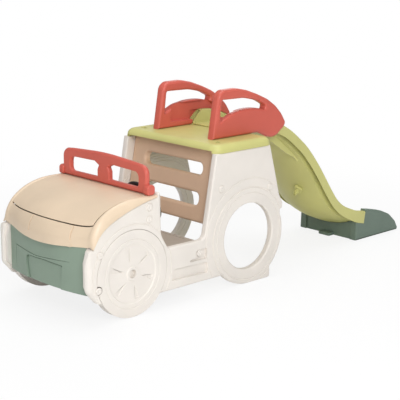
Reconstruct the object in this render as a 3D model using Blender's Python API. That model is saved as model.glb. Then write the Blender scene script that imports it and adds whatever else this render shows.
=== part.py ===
"""Sit-in play car with a climbing ladder, a roof deck and a slide, in metres.

The car faces -X and the slide runs out towards +X. Left is -Y and right is +Y.
Sizes along X are measured from the front axle, and FRAME centres the whole toy.
"""

import math

import bmesh
import bpy
from mathutils import Matrix, Vector

# Fits between pieces
SEAT_GAP = 0.0003
LID_GAP = 0.0015
PIN_GAP = 0.0004
SKIN = 0.006

# Overall body
BODY_HALF_WIDTH = 0.353
PANEL_THICKNESS = 0.036
FENDER_THICKNESS = 0.053
PANEL_EDGE = 0.006
FINE_EDGE = 0.007

# Front wheels
WHEEL_RADIUS = 0.210
WHEEL_THICKNESS = 0.045
WHEEL_GAP = 0.004
WHEEL_RIM_RADIUS = 0.142
WHEEL_DISH_DEPTH = 0.004
HUB_RADIUS = 0.030
HUB_BORE_RADIUS = 0.019
HUB_BORE_DEPTH = 0.020
HUB_BOLT_RADIUS = 0.015
HUB_BOLT_HEIGHT = 0.005
HUB_SHANK_RADIUS = 0.006
HUB_SHANK_LENGTH = 0.030
FLUTE_COUNT = 6
FLUTE_INNER_RADIUS = 0.070
FLUTE_OUTER_RADIUS = 0.130
FLUTE_WIDTH = 0.050
FLUTE_DEPTH = 0.004
FLUTE_TURN_DEG = 42.0

# Side panel outline
FENDER_FRONT = -0.2625
FENDER_BOTTOM = 0.105
FENDER_REAR = 0.176
FENDER_TOP = 0.572
SILL_BOTTOM = 0.078
SILL_TOP = 0.289
RING_X = 0.767
RING_RADIUS = 0.250
OPENING_RADIUS = 0.171
CAB_FRONT_X = 0.535
CAB_REAR_X = 0.917
CAB_TOP = 0.701
REAR_STEP_X = 1.018
RELIEF_DEPTH = 0.004
GROOVE_WIDTH = 0.006

# Hood: profiles along the middle, along the lid's side and along the fender
HOOD_REAR = 0.152
HOOD_TOP = 0.561
SHOULDER_RISE = 0.006
HOOD_OVERHANG = 0.003
APRON_INSIDE = -0.2235
APRON_SIDE_BOTTOM = 0.368
SHOULDER_WIDTH = 0.038
LID_HALF_WIDTH = BODY_HALF_WIDTH - SHOULDER_WIDTH
LID_REAR = 0.106
LID_FRONT_MIDDLE = -0.244
LID_FRONT_SIDE = -0.200
COWL_FRONT = 0.1545
HINGE_X = 0.090
HINGE_DROP = 0.012
HINGE_EAR_RADIUS = 0.008
HINGE_EAR_WIDTH = 0.016
HINGE_PIN_RADIUS = 0.0035
HINGE_PIN_START = 0.004

# Bumper
BUMPER_FRONT = -0.264
BUMPER_SWEEP = 0.036
BUMPER_BOTTOM = 0.139
BUMPER_TOP = 0.372
BUMPER_THICKNESS = 0.016
PLATE_HALF_WIDTH = 0.142
PLATE_BOTTOM_HALF_WIDTH = 0.124
PLATE_TOP = 0.257
PLATE_DEPTH = 0.005

# Windshield frame
WINDSHIELD_FRONT = 0.111
WINDSHIELD_THICKNESS = 0.028
WINDSHIELD_HALF_WIDTH = BODY_HALF_WIDTH - 0.031
WINDSHIELD_TOP = 0.717
WINDSHIELD_EDGE = 0.012
WINDOW_INNER = 0.044
WINDOW_OUTER = WINDSHIELD_HALF_WIDTH - 0.060
WINDOW_BOTTOM = HOOD_TOP + 0.029
WINDOW_TOP = WINDSHIELD_TOP - 0.055
KNOB_RADIUS = 0.022
KNOB_LENGTH = 0.020

# Dashboard and steering
DASH_THICKNESS = 0.012
DASH_REAR = 0.168
DASH_BOTTOM = 0.330
STEERING_X = 0.240
STEERING_Y = -0.147
STEERING_Z = 0.478
STEERING_TILT_DEG = 25.0
STEERING_RADIUS = 0.105
STEERING_RIM_RADIUS = 0.012
STEERING_HUB_RADIUS = 0.026
STEERING_HUB_LENGTH = 0.022
STEERING_SHAFT_RADIUS = 0.009
STEERING_SHAFT_LENGTH = 0.098
COLUMN_RADIUS = 0.020
COLUMN_LENGTH = 0.044
COLLAR_RADIUS = 0.016
COLLAR_LENGTH = 0.008

# Storage bin under the lid
BIN_WALL = 0.004
BIN_FRONT = -0.186
BIN_REAR = 0.058
BIN_BOTTOM = 0.235
BIN_RIM_GAP = 0.003

# Seat
SEAT_FRONT = 0.215
SEAT_REAR = 0.442
SEAT_TOP = 0.283
SEAT_BOTTOM = 0.095
SEAT_WALL = 0.006
SEAT_EDGE = 0.014

# Ladder panel
LADDER_LEAN_DEG = 10.4
LADDER_SETBACK = 0.048
LADDER_THICKNESS = 0.045
LADDER_BOTTOM = 0.341
LADDER_EDGE = 0.014
SLOT_HALF_WIDTH = 0.222
SLOT_CORNER = 0.026
SLOT_HEIGHTS = ((0.416, 0.496), (0.568, 0.640))

# Roof deck
ROOF_FRONT = 0.530
ROOF_REAR = 0.935
ROOF_HEIGHT = 0.0417
ROOF_DECK = 0.008
ROOF_CORNER = 0.045
ROOF_EDGE = 0.016
ROOF_FRONT_LIFT = 0.012
POCKET_X = 0.613
POCKET_Y = 0.275
POCKET_LENGTH = 0.012
POCKET_WIDTH = 0.030
POCKET_DEPTH = 0.004

# Slide chute
CHUTE_START = 0.872
CHUTE_END = 1.885
CHUTE_HALF_WIDTH = 0.2165
CHUTE_RIM = 0.038
CHUTE_SKIRT = 0.052
CHUTE_END_SKIRT = 0.072
CHUTE_DEPTH = 0.095
CHUTE_EDGE_DEPTH = 0.055
CHUTE_WALL = 0.006
CHUTE_STATIONS = 22
HUMP_RISE = 0.075
CHUTE_END_RIM = 0.164

# Slide foot
FOOT_FRONT = 1.804
FOOT_END = 2.202
FOOT_HALF_WIDTH = 0.2163
FOOT_LIP = 0.030
FOOT_TOP = 0.175
TAB_LENGTH = 0.035
TAB_HALF_WIDTH = 0.042
TAB_HEIGHT = 0.018
TAB_HOLE_RADIUS = 0.006

# Handrails
RAIL_INNER = 0.180
RAIL_OUTER = 0.2326
RAIL_EDGE = 0.010
RAIL_FRONT = 0.640

# Hose connector under the chute
CONNECTOR_X = 1.532
CONNECTOR_PLATE = 0.040
CONNECTOR_PLATE_THICKNESS = 0.010
CONNECTOR_BODY_RADIUS = 0.015
CONNECTOR_BODY_LENGTH = 0.022
CONNECTOR_NOZZLE_RADIUS = 0.009
CONNECTOR_NOZZLE_LENGTH = 0.018

# Cap screws: name, x and z on the side panel
SCREW_PLACES = (
    ("cowl_screw_upper", 0.103, 0.512),
    ("cowl_screw_lower", 0.102, 0.453),
    ("fender_screw_upper", -0.191, 0.335),
    ("fender_screw_lower", -0.203, 0.171),
    ("sill_screw", 0.422, 0.229),
    ("cab_screw_front", 0.571, 0.524),
    ("cab_screw_rear", 0.917, 0.483),
)
CAP_RADIUS = 0.0165
CAP_HEIGHT = 0.004
CAP_SHANK_RADIUS = 0.005
CAP_SHANK_LENGTH = 0.024
CAP_BOSS_RADIUS = 0.0195

# Places worked out from the sizes above
PANEL_INNER = BODY_HALF_WIDTH - PANEL_THICKNESS
FENDER_INNER = BODY_HALF_WIDTH - FENDER_THICKNESS
HOOD_FRONT = -0.285
MIDDLE_X = (HOOD_FRONT + FOOT_END) / 2
DECK_Z = CAB_TOP + ROOF_HEIGHT + SEAT_GAP
HUMP_TOP = DECK_Z + HUMP_RISE
HINGE_Z = HOOD_TOP - HINGE_DROP
SIDES = (("left", -1), ("right", 1))

for leftover in list(bpy.data.objects):
    bpy.data.objects.remove(leftover)

FRAME = bpy.data.objects.new("toy_frame", None)
bpy.context.collection.objects.link(FRAME)
FRAME.location.x = -MIDDLE_X


def plastic(name, colour, roughness=0.45):
    """Plain moulded plastic of one colour."""
    made = bpy.data.materials.new(name)
    made.use_nodes = True
    shader = made.node_tree.nodes["Principled BSDF"]
    shader.inputs["Base Color"].default_value = (*colour, 1.0)
    shader.inputs["Roughness"].default_value = roughness
    shader.inputs["Metallic"].default_value = 0.0
    return made


CREAM = plastic("cream", (0.83, 0.78, 0.72))
BEIGE = plastic("beige", (0.80, 0.66, 0.50))
SAGE = plastic("sage", (0.24, 0.34, 0.27))
SLATE = plastic("slate_green", (0.17, 0.22, 0.19))
CORAL = plastic("coral", (0.66, 0.13, 0.09))
LIME = plastic("lime", (0.62, 0.62, 0.20))
TAN = plastic("tan", (0.60, 0.42, 0.30))
TAUPE = plastic("taupe", (0.42, 0.36, 0.30))
BLACK = plastic("black", (0.02, 0.02, 0.02), 0.35)


# Outlines in a plane

def arc(centre, radius, start_deg, end_deg, steps):
    """Points on an arc, from one angle to the other."""
    points = []
    for step in range(steps + 1):
        angle = math.radians(start_deg + (end_deg - start_deg) * step / steps)
        points.append((centre[0] + radius * math.cos(angle), centre[1] + radius * math.sin(angle)))
    return points


def rounded(corners, step_deg=30):
    """A closed outline of (across, up, radius) corners, with each corner turned by its radius."""
    points = []
    for index, (across, up, radius) in enumerate(corners):
        here = Vector((across, up))
        if radius == 0:
            points.append(here)
            continue
        before = Vector(corners[index - 1][:2]) - here
        after = Vector(corners[(index + 1) % len(corners)][:2]) - here
        half = before.angle(after) / 2
        reach = min(radius / math.tan(half), 0.49 * before.length, 0.49 * after.length)
        turn = reach * math.tan(half)
        start = here + before.normalized() * reach
        end = here + after.normalized() * reach
        middle = (before.normalized() + after.normalized()).normalized()
        centre = here + middle * (turn / math.sin(half))
        first = math.atan2(*reversed(start - centre))
        sweep = math.atan2(*reversed(end - centre)) - first
        sweep = (sweep + math.pi) % (2 * math.pi) - math.pi
        steps = max(1, math.ceil(abs(math.degrees(sweep)) / step_deg))
        for step in range(steps + 1):
            angle = first + sweep * step / steps
            points.append(centre + turn * Vector((math.cos(angle), math.sin(angle))))
    return points


def smooth(points, count):
    """A given number of points, evenly spaced along a smooth curve through the given ones."""
    knots = [Vector(p) for p in points]
    knots = [2 * knots[0] - knots[1], *knots, 2 * knots[-1] - knots[-2]]
    fine = []
    for a, b, c, d in zip(knots, knots[1:], knots[2:], knots[3:]):
        for step in range(12):
            t = step / 12
            fine.append(
                0.5 * (2 * b + (c - a) * t + (2 * a - 5 * b + 4 * c - d) * t**2 + (3 * b - a - 3 * c + d) * t**3)
            )
    fine.append(knots[-2])
    lengths = [0.0]
    for a, b in zip(fine, fine[1:]):
        lengths.append(lengths[-1] + (b - a).length)
    even = []
    place = 0
    for step in range(count):
        target = lengths[-1] * step / (count - 1)
        while place < len(fine) - 2 and lengths[place + 1] < target:
            place += 1
        share = (target - lengths[place]) / (lengths[place + 1] - lengths[place])
        even.append(fine[place].lerp(fine[place + 1], share))
    return even


def inset(outline, distance):
    """The outline moved inwards by a distance, for an outline that runs anticlockwise."""
    moved = []
    for index, here in enumerate(outline):
        here = Vector(here)
        before = (here - Vector(outline[index - 1])).normalized()
        after = (Vector(outline[(index + 1) % len(outline)]) - here).normalized()
        inward = Vector((-before.y - after.y, before.x + after.x)).normalized()
        lean = max(0.4, inward.dot(Vector((-before.y, before.x))))
        moved.append(here + inward * (distance / lean))
    return moved


# Solids

def finish(mesh_tool, name, material, parent=FRAME):
    """Turns the faces outwards and makes the mesh an object of its own."""
    bmesh.ops.recalc_face_normals(mesh_tool, faces=mesh_tool.faces)
    mesh = bpy.data.meshes.new(name)
    mesh_tool.to_mesh(mesh)
    mesh_tool.free()
    mesh.shade_smooth()
    mesh.set_sharp_from_angle(angle=math.radians(35))
    made = bpy.data.objects.new(name, mesh)
    bpy.context.collection.objects.link(made)
    made.parent = parent
    if material:
        mesh.materials.append(material)
    return made


def loft(name, loops, material, parent=FRAME):
    """A closed solid through loops of equally many points, capped at both ends."""
    tool = bmesh.new()
    rings = []
    for loop in loops:
        rings.append([tool.verts.new(point) for point in loop])
    for first, second in zip(rings, rings[1:]):
        for index in range(len(first)):
            after = (index + 1) % len(first)
            tool.faces.new((first[index], first[after], second[after], second[index]))
    tool.faces.new(reversed(rings[0]))
    tool.faces.new(rings[-1])
    return finish(tool, name, material, parent)


def across_y(point, depth):
    return Vector((point[0], depth, point[1]))


def across_x(point, depth):
    return Vector((depth, point[0], point[1]))


def across_z(point, depth):
    return Vector((point[0], point[1], depth))


def slab(name, outline, low, high, place, material=None, edge=0.0, parent=FRAME):
    """An outline pushed through from low to high, with both its edges rounded."""
    if edge == 0:
        depths = [(low, 0.0), (high, 0.0)]
    else:
        angles = (math.pi / 2, math.pi / 4, 0) if edge > FINE_EDGE else (math.pi / 2, 0)
        turns = [(edge * (1 - math.sin(a)), edge * (1 - math.cos(a))) for a in angles]
        depths = [(low + rise, drop) for rise, drop in turns]
        depths += [(high - rise, drop) for rise, drop in reversed(turns)]
    loops = []
    for depth, drop in depths:
        loops.append([place(point, depth) for point in (inset(outline, drop) if drop else outline)])
    return loft(name, loops, material, parent)


def turned(name, profile, steps, material=None, parent=FRAME):
    """A profile of (radius, height) points turned about the local Z axis."""
    tool = bmesh.new()
    corners = [tool.verts.new((radius, 0, height)) for radius, height in profile]
    edges = [tool.edges.new(pair) for pair in zip(corners, corners[1:])]
    bmesh.ops.spin(
        tool,
        geom=corners + edges,
        axis=(0, 0, 1),
        cent=(0, 0, 0),
        angle=2 * math.pi,
        steps=steps,
        use_merge=True,
        use_duplicate=False,
    )
    bmesh.ops.remove_doubles(tool, verts=tool.verts, dist=1e-6)
    return finish(tool, name, material, parent)


def drum(name, radius, low, high, steps=24, material=None, parent=FRAME):
    """A plain cylinder along the local Z axis."""
    return turned(name, [(0, low), (radius, low), (radius, high), (0, high)], steps, material, parent)


def boolean(target, tool, operation):
    """Applies another solid to this one and hides it from the render."""
    tool.hide_render = True
    tool.display_type = "WIRE"
    step = target.modifiers.new(f"{operation.lower()}_{tool.name}", "BOOLEAN")
    step.operation = operation
    step.object = tool


def cut(target, tool):
    boolean(target, tool, "DIFFERENCE")


def add(target, tool):
    boolean(target, tool, "UNION")


def face_side(made, side, place):
    """Stands a piece turned about Z on the side of the car, with its Z axis pointing outwards."""
    made.location = place
    made.rotation_euler = (math.radians(-90 * side), 0, 0)


# The hood's surface, shared by the lid, its frame and the panels below it

def hood_profiles():
    """Three profiles from the apron's lower edge to the windshield: middle, lid side and fender."""
    middle = [(HOOD_FRONT, 0.350), (-0.278, 0.402), (-0.242, 0.460), (-0.180, 0.508)]
    middle += [(-0.090, 0.541), (0.010, 0.558), (HOOD_REAR, HOOD_TOP)]
    side = [(-0.232, 0.370), (-0.226, 0.420), (-0.200, 0.467), (-0.160, 0.503)]
    side += [(-0.090, 0.537), (0.010, 0.557), (HOOD_REAR, HOOD_TOP)]
    fender = [(-0.2325, APRON_SIDE_BOTTOM), (-0.219, 0.385), (-0.194, 0.421), (-0.157, 0.454)]
    fender += [(-0.097, 0.484), (-0.013, 0.513), (HOOD_REAR, 0.548)]
    return [smooth(points, 13) for points in (middle, side, fender)]


def hood_surface():
    """Rows of points across the hood, from left to right."""
    middle, side, fender = hood_profiles()
    rows = []
    for across in (0.0, 0.15, 0.25, LID_HALF_WIDTH - 0.006):
        share = min(1.0, (across / (LID_HALF_WIDTH - 0.006)) ** 2)
        rows.append((across, [m.lerp(s, share) for m, s in zip(middle, side)]))
    shoulder = BODY_HALF_WIDTH + HOOD_OVERHANG - LID_HALF_WIDTH
    for width, rise, drop in ((0.3, 0.8, 0.0), (0.65, 1.0, 0.03), (0.9, 0.4, 0.3), (1.0, 0.0, 1.0)):
        row = []
        for index, (s, f) in enumerate(zip(side, fender)):
            fade = max(0.0, min(1.0, 4 * (0.75 - index / (len(side) - 1))))
            row.append(s.lerp(f, drop) + Vector((0, rise * fade * SHOULDER_RISE)))
        rows.append((LID_HALF_WIDTH + shoulder * width, row))
    mirrored = [(-across, row) for across, row in reversed(rows[1:])]
    return [[across_y(point, across) for point in row] for across, row in mirrored + rows]


def hood_skin(name, material):
    """The whole moulded skin of the hood."""
    tool = bmesh.new()
    grid = [[tool.verts.new(point) for point in row] for row in hood_surface()]
    for first, second in zip(grid, grid[1:]):
        for index in range(len(first) - 1):
            tool.faces.new((first[index], second[index], second[index + 1], first[index + 1]))
    bmesh.ops.triangulate(tool, faces=tool.faces)
    made = finish(tool, name, material)
    if made.data.polygons[len(made.data.polygons) // 2].normal.z < 0:
        made.data.flip_normals()
    wall = made.modifiers.new("wall", "SOLIDIFY")
    wall.thickness = SKIN
    wall.offset = -1
    wall.use_even_offset = True
    return made


def lid_outline(gap):
    """The lid seen from above, grown by a gap."""
    depth = LID_FRONT_SIDE - LID_FRONT_MIDDLE
    half = LID_HALF_WIDTH + gap
    radius = (half**2 + depth**2) / (2 * depth)
    spread = math.degrees(math.asin(half / radius))
    front = arc((LID_FRONT_MIDDLE - gap + radius, 0), radius, 180 + spread, 180 - spread, 10)
    rear = LID_REAR if gap < 0 else WINDSHIELD_FRONT - 2 * SEAT_GAP
    outline = [(rear, -half), *[(x, -y) for x, y in reversed(front)], (rear, half)]
    return outline


def hinge_ear(name, inner, side):
    """The lug below the skin that takes half of a hinge pin, round at its lower end."""
    outline = arc((HINGE_X, HINGE_Z), HINGE_EAR_RADIUS, 180, 360, 8)
    top = HOOD_TOP - 0.5 * SKIN
    outline += [(HINGE_X + HINGE_EAR_RADIUS, top), (HINGE_X - HINGE_EAR_RADIUS, top)]
    low, high = sorted((side * inner, side * (inner + HINGE_EAR_WIDTH)))
    return slab(name, outline, low, high, across_y)


def hinge_bore(name, side):
    """The hole for one hinge pin, blind in the lid's lug."""
    low = -PIN_GAP
    high = 2 * (HINGE_EAR_WIDTH + LID_GAP) + 0.01
    made = drum(name, HINGE_PIN_RADIUS + PIN_GAP, low, high, 16)
    made.location = (HINGE_X, side * hinge_pin_start(), HINGE_Z)
    made.rotation_euler.x = math.radians(-90 * side)
    return made


def hinge_pin_start():
    """How far out from the middle a hinge pin begins."""
    return LID_HALF_WIDTH - LID_GAP - SEAT_GAP - HINGE_EAR_WIDTH + HINGE_PIN_START


def make_hood():
    """The hood's frame with apron and shoulders, the lid, and the two hinge pins."""
    frame = hood_skin("hood_frame", BEIGE)
    lid = hood_skin("hood_lid", BEIGE)
    keep = slab("lid_blank", lid_outline(-LID_GAP), 0.3, 0.7, across_z)
    boolean(lid, keep, "INTERSECT")
    lid_ear = LID_HALF_WIDTH - LID_GAP - SEAT_GAP - HINGE_EAR_WIDTH
    frame_ear = LID_HALF_WIDTH + LID_GAP + SEAT_GAP
    for name, side in SIDES:
        add(lid, hinge_ear(f"{name}_lid_ear", lid_ear, side))
        add(frame, hinge_ear(f"{name}_frame_ear", frame_ear, side))
    cut(frame, slab("lid_hole", lid_outline(LID_GAP), 0.3, 0.7, across_z))
    for name, side in SIDES:
        bore = hinge_bore(f"{name}_hinge_bore", side)
        cut(lid, bore)
        cut(frame, bore)
        length = frame_ear + HINGE_EAR_WIDTH - hinge_pin_start()
        pin = drum(f"{name}_hinge_pin", HINGE_PIN_RADIUS, 0, length, 16, BLACK)
        pin.location = (HINGE_X, side * hinge_pin_start(), HINGE_Z)
        pin.rotation_euler.x = math.radians(-90 * side)


# Side panels and wheels

def panel_outline():
    """The side panel from the front fender round the sill and the ring to the cab and back."""
    ring = (RING_X, RING_RADIUS)
    sill_turn = math.degrees(math.asin((RING_RADIUS - SILL_BOTTOM) / RING_RADIUS))
    foot_turn = 48
    corners = [(-0.205, FENDER_BOTTOM, 0.015), (0.165, SILL_BOTTOM, 0.0)]
    corners += [(x, z, 0) for x, z in arc(ring, RING_RADIUS, 180 + sill_turn, 270, 7)]
    corners += [(0.925, 0.0, 0.012), (0.927, 0.064, 0.0)]
    corners += [(x, z, 0) for x, z in arc(ring, RING_RADIUS, -foot_turn, 14, 8)]
    corners += [(1.000, 0.332, 0.004), (1.000, 0.350, 0.004), (REAR_STEP_X - 0.002, 0.354, 0.012)]
    corners += [(REAR_STEP_X, 0.388, 0.020), (0.991, 0.437, 0.030), (CAB_REAR_X, CAB_TOP, 0.0)]
    lean = math.tan(math.radians(LADDER_LEAN_DEG))
    foot_x = CAB_FRONT_X - lean * (CAB_TOP - SILL_TOP)
    corners += [(CAB_FRONT_X, CAB_TOP, 0.0), (foot_x, SILL_TOP, 0.035), (0.222, SILL_TOP + 0.002, 0.020)]
    corners += [(FENDER_REAR + 0.001, 0.366, 0.080), (FENDER_REAR, 0.420, 0.0)]
    corners += [(FENDER_REAR - 0.002, FENDER_TOP, 0.018), (COWL_FRONT, FENDER_TOP, 0.009)]
    _, _, fender = hood_profiles()
    edge = [(x + 2 * SEAT_GAP, z - 4 * SEAT_GAP, 0) for x, z in reversed(fender) if x > APRON_INSIDE]
    corners += [(COWL_FRONT, edge[0][1], 0.0), *edge, (APRON_INSIDE, APRON_SIDE_BOTTOM - 4 * SEAT_GAP, 0.0)]
    corners += [(-0.252, 0.364, 0.010), (FENDER_FRONT, 0.300, 0.060), (FENDER_FRONT, 0.172, 0.040)]
    return rounded(corners)


def fender_box_outline():
    """The thick front part of the side panel, set in a little from the panel's own outline."""
    shift = 2 * PANEL_EDGE
    _, _, fender = hood_profiles()
    corners = [(-0.205 + shift, FENDER_BOTTOM + 0.001, 0.010), (0.140, SILL_BOTTOM + shift, 0.020)]
    corners += [(0.166, 0.200, 0.020), (FENDER_REAR - shift, 0.400, 0.0)]
    corners += [(FENDER_REAR - shift, fender[-1].y - shift, 0.0)]
    corners += [(x, z - shift, 0) for x, z in list(reversed(fender))[3:-3]]
    corners += [(-0.235, 0.352, 0.010), (FENDER_FRONT + shift, 0.300, 0.0), (FENDER_FRONT + shift, 0.180, 0.020)]
    return rounded(corners)


def wheel_pocket(name, side):
    """The round recess that holds a front wheel, with the boss for the screw beside it."""
    radius = WHEEL_RADIUS + WHEEL_GAP
    made = drum(name, radius, -WHEEL_THICKNESS - SEAT_GAP, 0.01, 36)
    face_side(made, side, (0, side * BODY_HALF_WIDTH, WHEEL_RADIUS))
    _, x, z = SCREW_PLACES[3]
    boss = drum(f"{name}_boss", CAP_BOSS_RADIUS, -0.08, 0.02, 12)
    face_side(boss, side, (x, side * BODY_HALF_WIDTH, z))
    cut(made, boss)
    return made


def recess(name, outline, side, depth):
    """A shallow pocket in the outer face of a side panel."""
    low, high = sorted((side * (BODY_HALF_WIDTH - depth), side * (BODY_HALF_WIDTH + 0.01)))
    return slab(name, outline, low, high, across_y)


def ring_groove(name, side):
    """A moulded line round the big rear opening."""
    inner = OPENING_RADIUS + 0.050
    profile = [(inner, -RELIEF_DEPTH), (inner + GROOVE_WIDTH, -RELIEF_DEPTH), (inner + GROOVE_WIDTH, 0.01)]
    made = turned(name, [*profile, (inner, 0.01), (inner, -RELIEF_DEPTH)], 30)
    face_side(made, side, (RING_X, side * BODY_HALF_WIDTH, RING_RADIUS))
    return made


def make_side_panel(name, side):
    """One side of the car: fender, sill, wheel ring and cab side in one moulding."""
    low, high = sorted((side * PANEL_INNER, side * BODY_HALF_WIDTH))
    panel = slab(f"{name}_side_panel", panel_outline(), low, high, across_y, CREAM, PANEL_EDGE)
    low, high = sorted((side * FENDER_INNER, side * (PANEL_INNER + PANEL_THICKNESS / 2)))
    add(panel, slab(f"{name}_fender_box", fender_box_outline(), low, high, across_y, None))
    cut(panel, wheel_pocket(f"{name}_wheel_pocket", side))
    opening = drum(f"{name}_ring_opening", OPENING_RADIUS, -0.1, 0.1, 30)
    face_side(opening, side, (RING_X, side * BODY_HALF_WIDTH, RING_RADIUS))
    cut(panel, opening)
    cut(panel, ring_groove(f"{name}_ring_groove", side))
    upper = rounded([(0.362, 0.196, 0.005), (0.473, 0.196, 0.010), (0.473, 0.207, 0.005), (0.362, 0.204, 0.003)])
    lower = rounded([(0.240, 0.122, 0.010), (0.486, 0.116, 0.012), (0.480, 0.174, 0.012), (0.252, 0.180, 0.010)])
    cut(panel, recess(f"{name}_upper_recess", upper, side, RELIEF_DEPTH))
    cut(panel, recess(f"{name}_lower_recess", lower, side, RELIEF_DEPTH))
    for screw, x, z in SCREW_PLACES:
        bore = drum(f"{name}_{screw}_bore", CAP_SHANK_RADIUS + SEAT_GAP, -CAP_SHANK_LENGTH - 0.002, 0.02, 8)
        face_side(bore, side, (x, side * BODY_HALF_WIDTH, z))
        cut(panel, bore)
    bolt = drum(f"{name}_hub_bore", HUB_SHANK_RADIUS + SEAT_GAP, -0.1, 0.1, 8)
    face_side(bolt, side, (0, side * BODY_HALF_WIDTH, WHEEL_RADIUS))
    cut(panel, bolt)


def make_screws(name, side):
    """The cap screws on one side."""
    for screw, x, z in SCREW_PLACES:
        base = SEAT_GAP
        profile = [(0, -CAP_SHANK_LENGTH), (CAP_SHANK_RADIUS, -CAP_SHANK_LENGTH), (CAP_SHANK_RADIUS, base)]
        profile += [(CAP_RADIUS, base), (CAP_RADIUS, base + 0.5 * CAP_HEIGHT), (0.8 * CAP_RADIUS, base + CAP_HEIGHT)]
        profile += [(0.3 * CAP_RADIUS, base + CAP_HEIGHT), (0, base + 0.6 * CAP_HEIGHT)]
        made = turned(f"{name}_{screw}", profile, 8, CREAM)
        face_side(made, side, (x, side * BODY_HALF_WIDTH, z))


def make_wheel(name, side):
    """A front wheel: tyre and rim in one moulding, with paired spokes and a hub."""
    back = -WHEEL_THICKNESS
    dish = -WHEEL_DISH_DEPTH
    profile = [(0, back), (WHEEL_RADIUS - 0.006, back), (WHEEL_RADIUS, back + 0.006), (WHEEL_RADIUS, -0.008)]
    profile += [(WHEEL_RADIUS - 0.008, 0.0), (WHEEL_RIM_RADIUS + 0.004, 0.0)]
    profile += [(WHEEL_RIM_RADIUS - 0.004, dish), (HUB_RADIUS + 0.004, dish)]
    profile += [(HUB_RADIUS, 0.0), (HUB_BORE_RADIUS, 0.0)]
    profile += [(HUB_BORE_RADIUS, -HUB_BORE_DEPTH), (0, -HUB_BORE_DEPTH)]
    wheel = turned(f"{name}_front_wheel", profile, 32, CREAM)
    face_side(wheel, side, (0, side * BODY_HALF_WIDTH, WHEEL_RADIUS))
    for index in range(FLUTE_COUNT):
        half = FLUTE_WIDTH / 2
        corners = [(FLUTE_INNER_RADIUS, 0.0, 0.004), (FLUTE_OUTER_RADIUS, -half, 0.006)]
        corners += [(FLUTE_OUTER_RADIUS + 0.004, 0.0, 0.0), (FLUTE_OUTER_RADIUS, half, 0.006)]
        flute = slab(f"{name}_flute_{index + 1}", rounded(corners, 45), dish - FLUTE_DEPTH, 0.01, across_z)
        face_side(flute, side, (0, side * BODY_HALF_WIDTH, WHEEL_RADIUS))
        flute.rotation_euler = (
            Matrix.Rotation(math.radians(-90 * side), 3, "X")
            @ Matrix.Rotation(math.radians(side * (-FLUTE_TURN_DEG - 60 * index)), 3, "Z")
        ).to_euler()
        cut(wheel, flute)
    _, x, z = SCREW_PLACES[3]
    notch = drum(f"{name}_wheel_notch", CAP_BOSS_RADIUS + 0.002, -0.1, 0.1, 12)
    face_side(notch, side, (x, side * BODY_HALF_WIDTH, z))
    cut(wheel, notch)
    bore = drum(f"{name}_wheel_bore", HUB_SHANK_RADIUS + SEAT_GAP, -0.1, 0.1, 8)
    face_side(bore, side, (0, side * BODY_HALF_WIDTH, WHEEL_RADIUS))
    cut(wheel, bore)
    top = -HUB_BORE_DEPTH + SEAT_GAP
    bolt = [(0, top - HUB_SHANK_LENGTH), (HUB_SHANK_RADIUS, top - HUB_SHANK_LENGTH), (HUB_SHANK_RADIUS, top)]
    bolt += [(HUB_BOLT_RADIUS, top), (HUB_BOLT_RADIUS, top + 0.7 * HUB_BOLT_HEIGHT)]
    bolt += [(0.7 * HUB_BOLT_RADIUS, top + HUB_BOLT_HEIGHT), (0, top + HUB_BOLT_HEIGHT)]
    made = turned(f"{name}_hub_bolt", bolt, 8, CREAM)
    face_side(made, side, (0, side * BODY_HALF_WIDTH, WHEEL_RADIUS))


# Front of the car

def make_bumper():
    """The green panel between the fenders, bowed forwards, with its groove and plain plate."""
    half = FENDER_INNER - SEAT_GAP
    loops = []
    for step in range(15):
        across = half * (2 * step / 14 - 1)
        front = BUMPER_FRONT + BUMPER_SWEEP * (across / half) ** 2
        rear = front + BUMPER_THICKNESS
        section = [(rear, BUMPER_TOP), (front + 0.004, BUMPER_TOP), (front, BUMPER_TOP - 0.004)]
        section += [(front, BUMPER_BOTTOM + 0.010), (front + 0.006, BUMPER_BOTTOM), (rear + 0.012, BUMPER_BOTTOM)]
        section += [(rear + 0.012, BUMPER_BOTTOM + 0.006), (rear, BUMPER_BOTTOM + 0.012)]
        loops.append([across_y(point, across) for point in section])
    bumper = loft("front_bumper", loops, SAGE)
    low = BUMPER_BOTTOM + 0.016
    plate = [(-PLATE_BOTTOM_HALF_WIDTH, low, 0.010), (PLATE_BOTTOM_HALF_WIDTH, low, 0.010)]
    plate += [(PLATE_HALF_WIDTH, PLATE_TOP, 0.022), (-PLATE_HALF_WIDTH, PLATE_TOP, 0.022)]
    rear = BUMPER_FRONT + BUMPER_SWEEP * (PLATE_HALF_WIDTH / half) ** 2 + PLATE_DEPTH
    cut(bumper, slab("bumper_plate", rounded(plate), BUMPER_FRONT - 0.02, rear, across_x))


def windshield_outline():
    """The outside of the windshield frame, seen from the front."""
    half = WINDSHIELD_HALF_WIDTH
    bottom = HOOD_TOP + SEAT_GAP
    corners = [(-half, bottom, 0.016), (half, bottom, 0.016), (half, WINDSHIELD_TOP - 0.022, 0.045)]
    crown = [(half - 0.080, WINDSHIELD_TOP - 0.014, 0.30), (0.0, WINDSHIELD_TOP, 1.5)]
    corners += crown + [(-crown[0][0], crown[0][1], 0.30), (-half, WINDSHIELD_TOP - 0.022, 0.045)]
    return rounded(corners)


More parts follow.
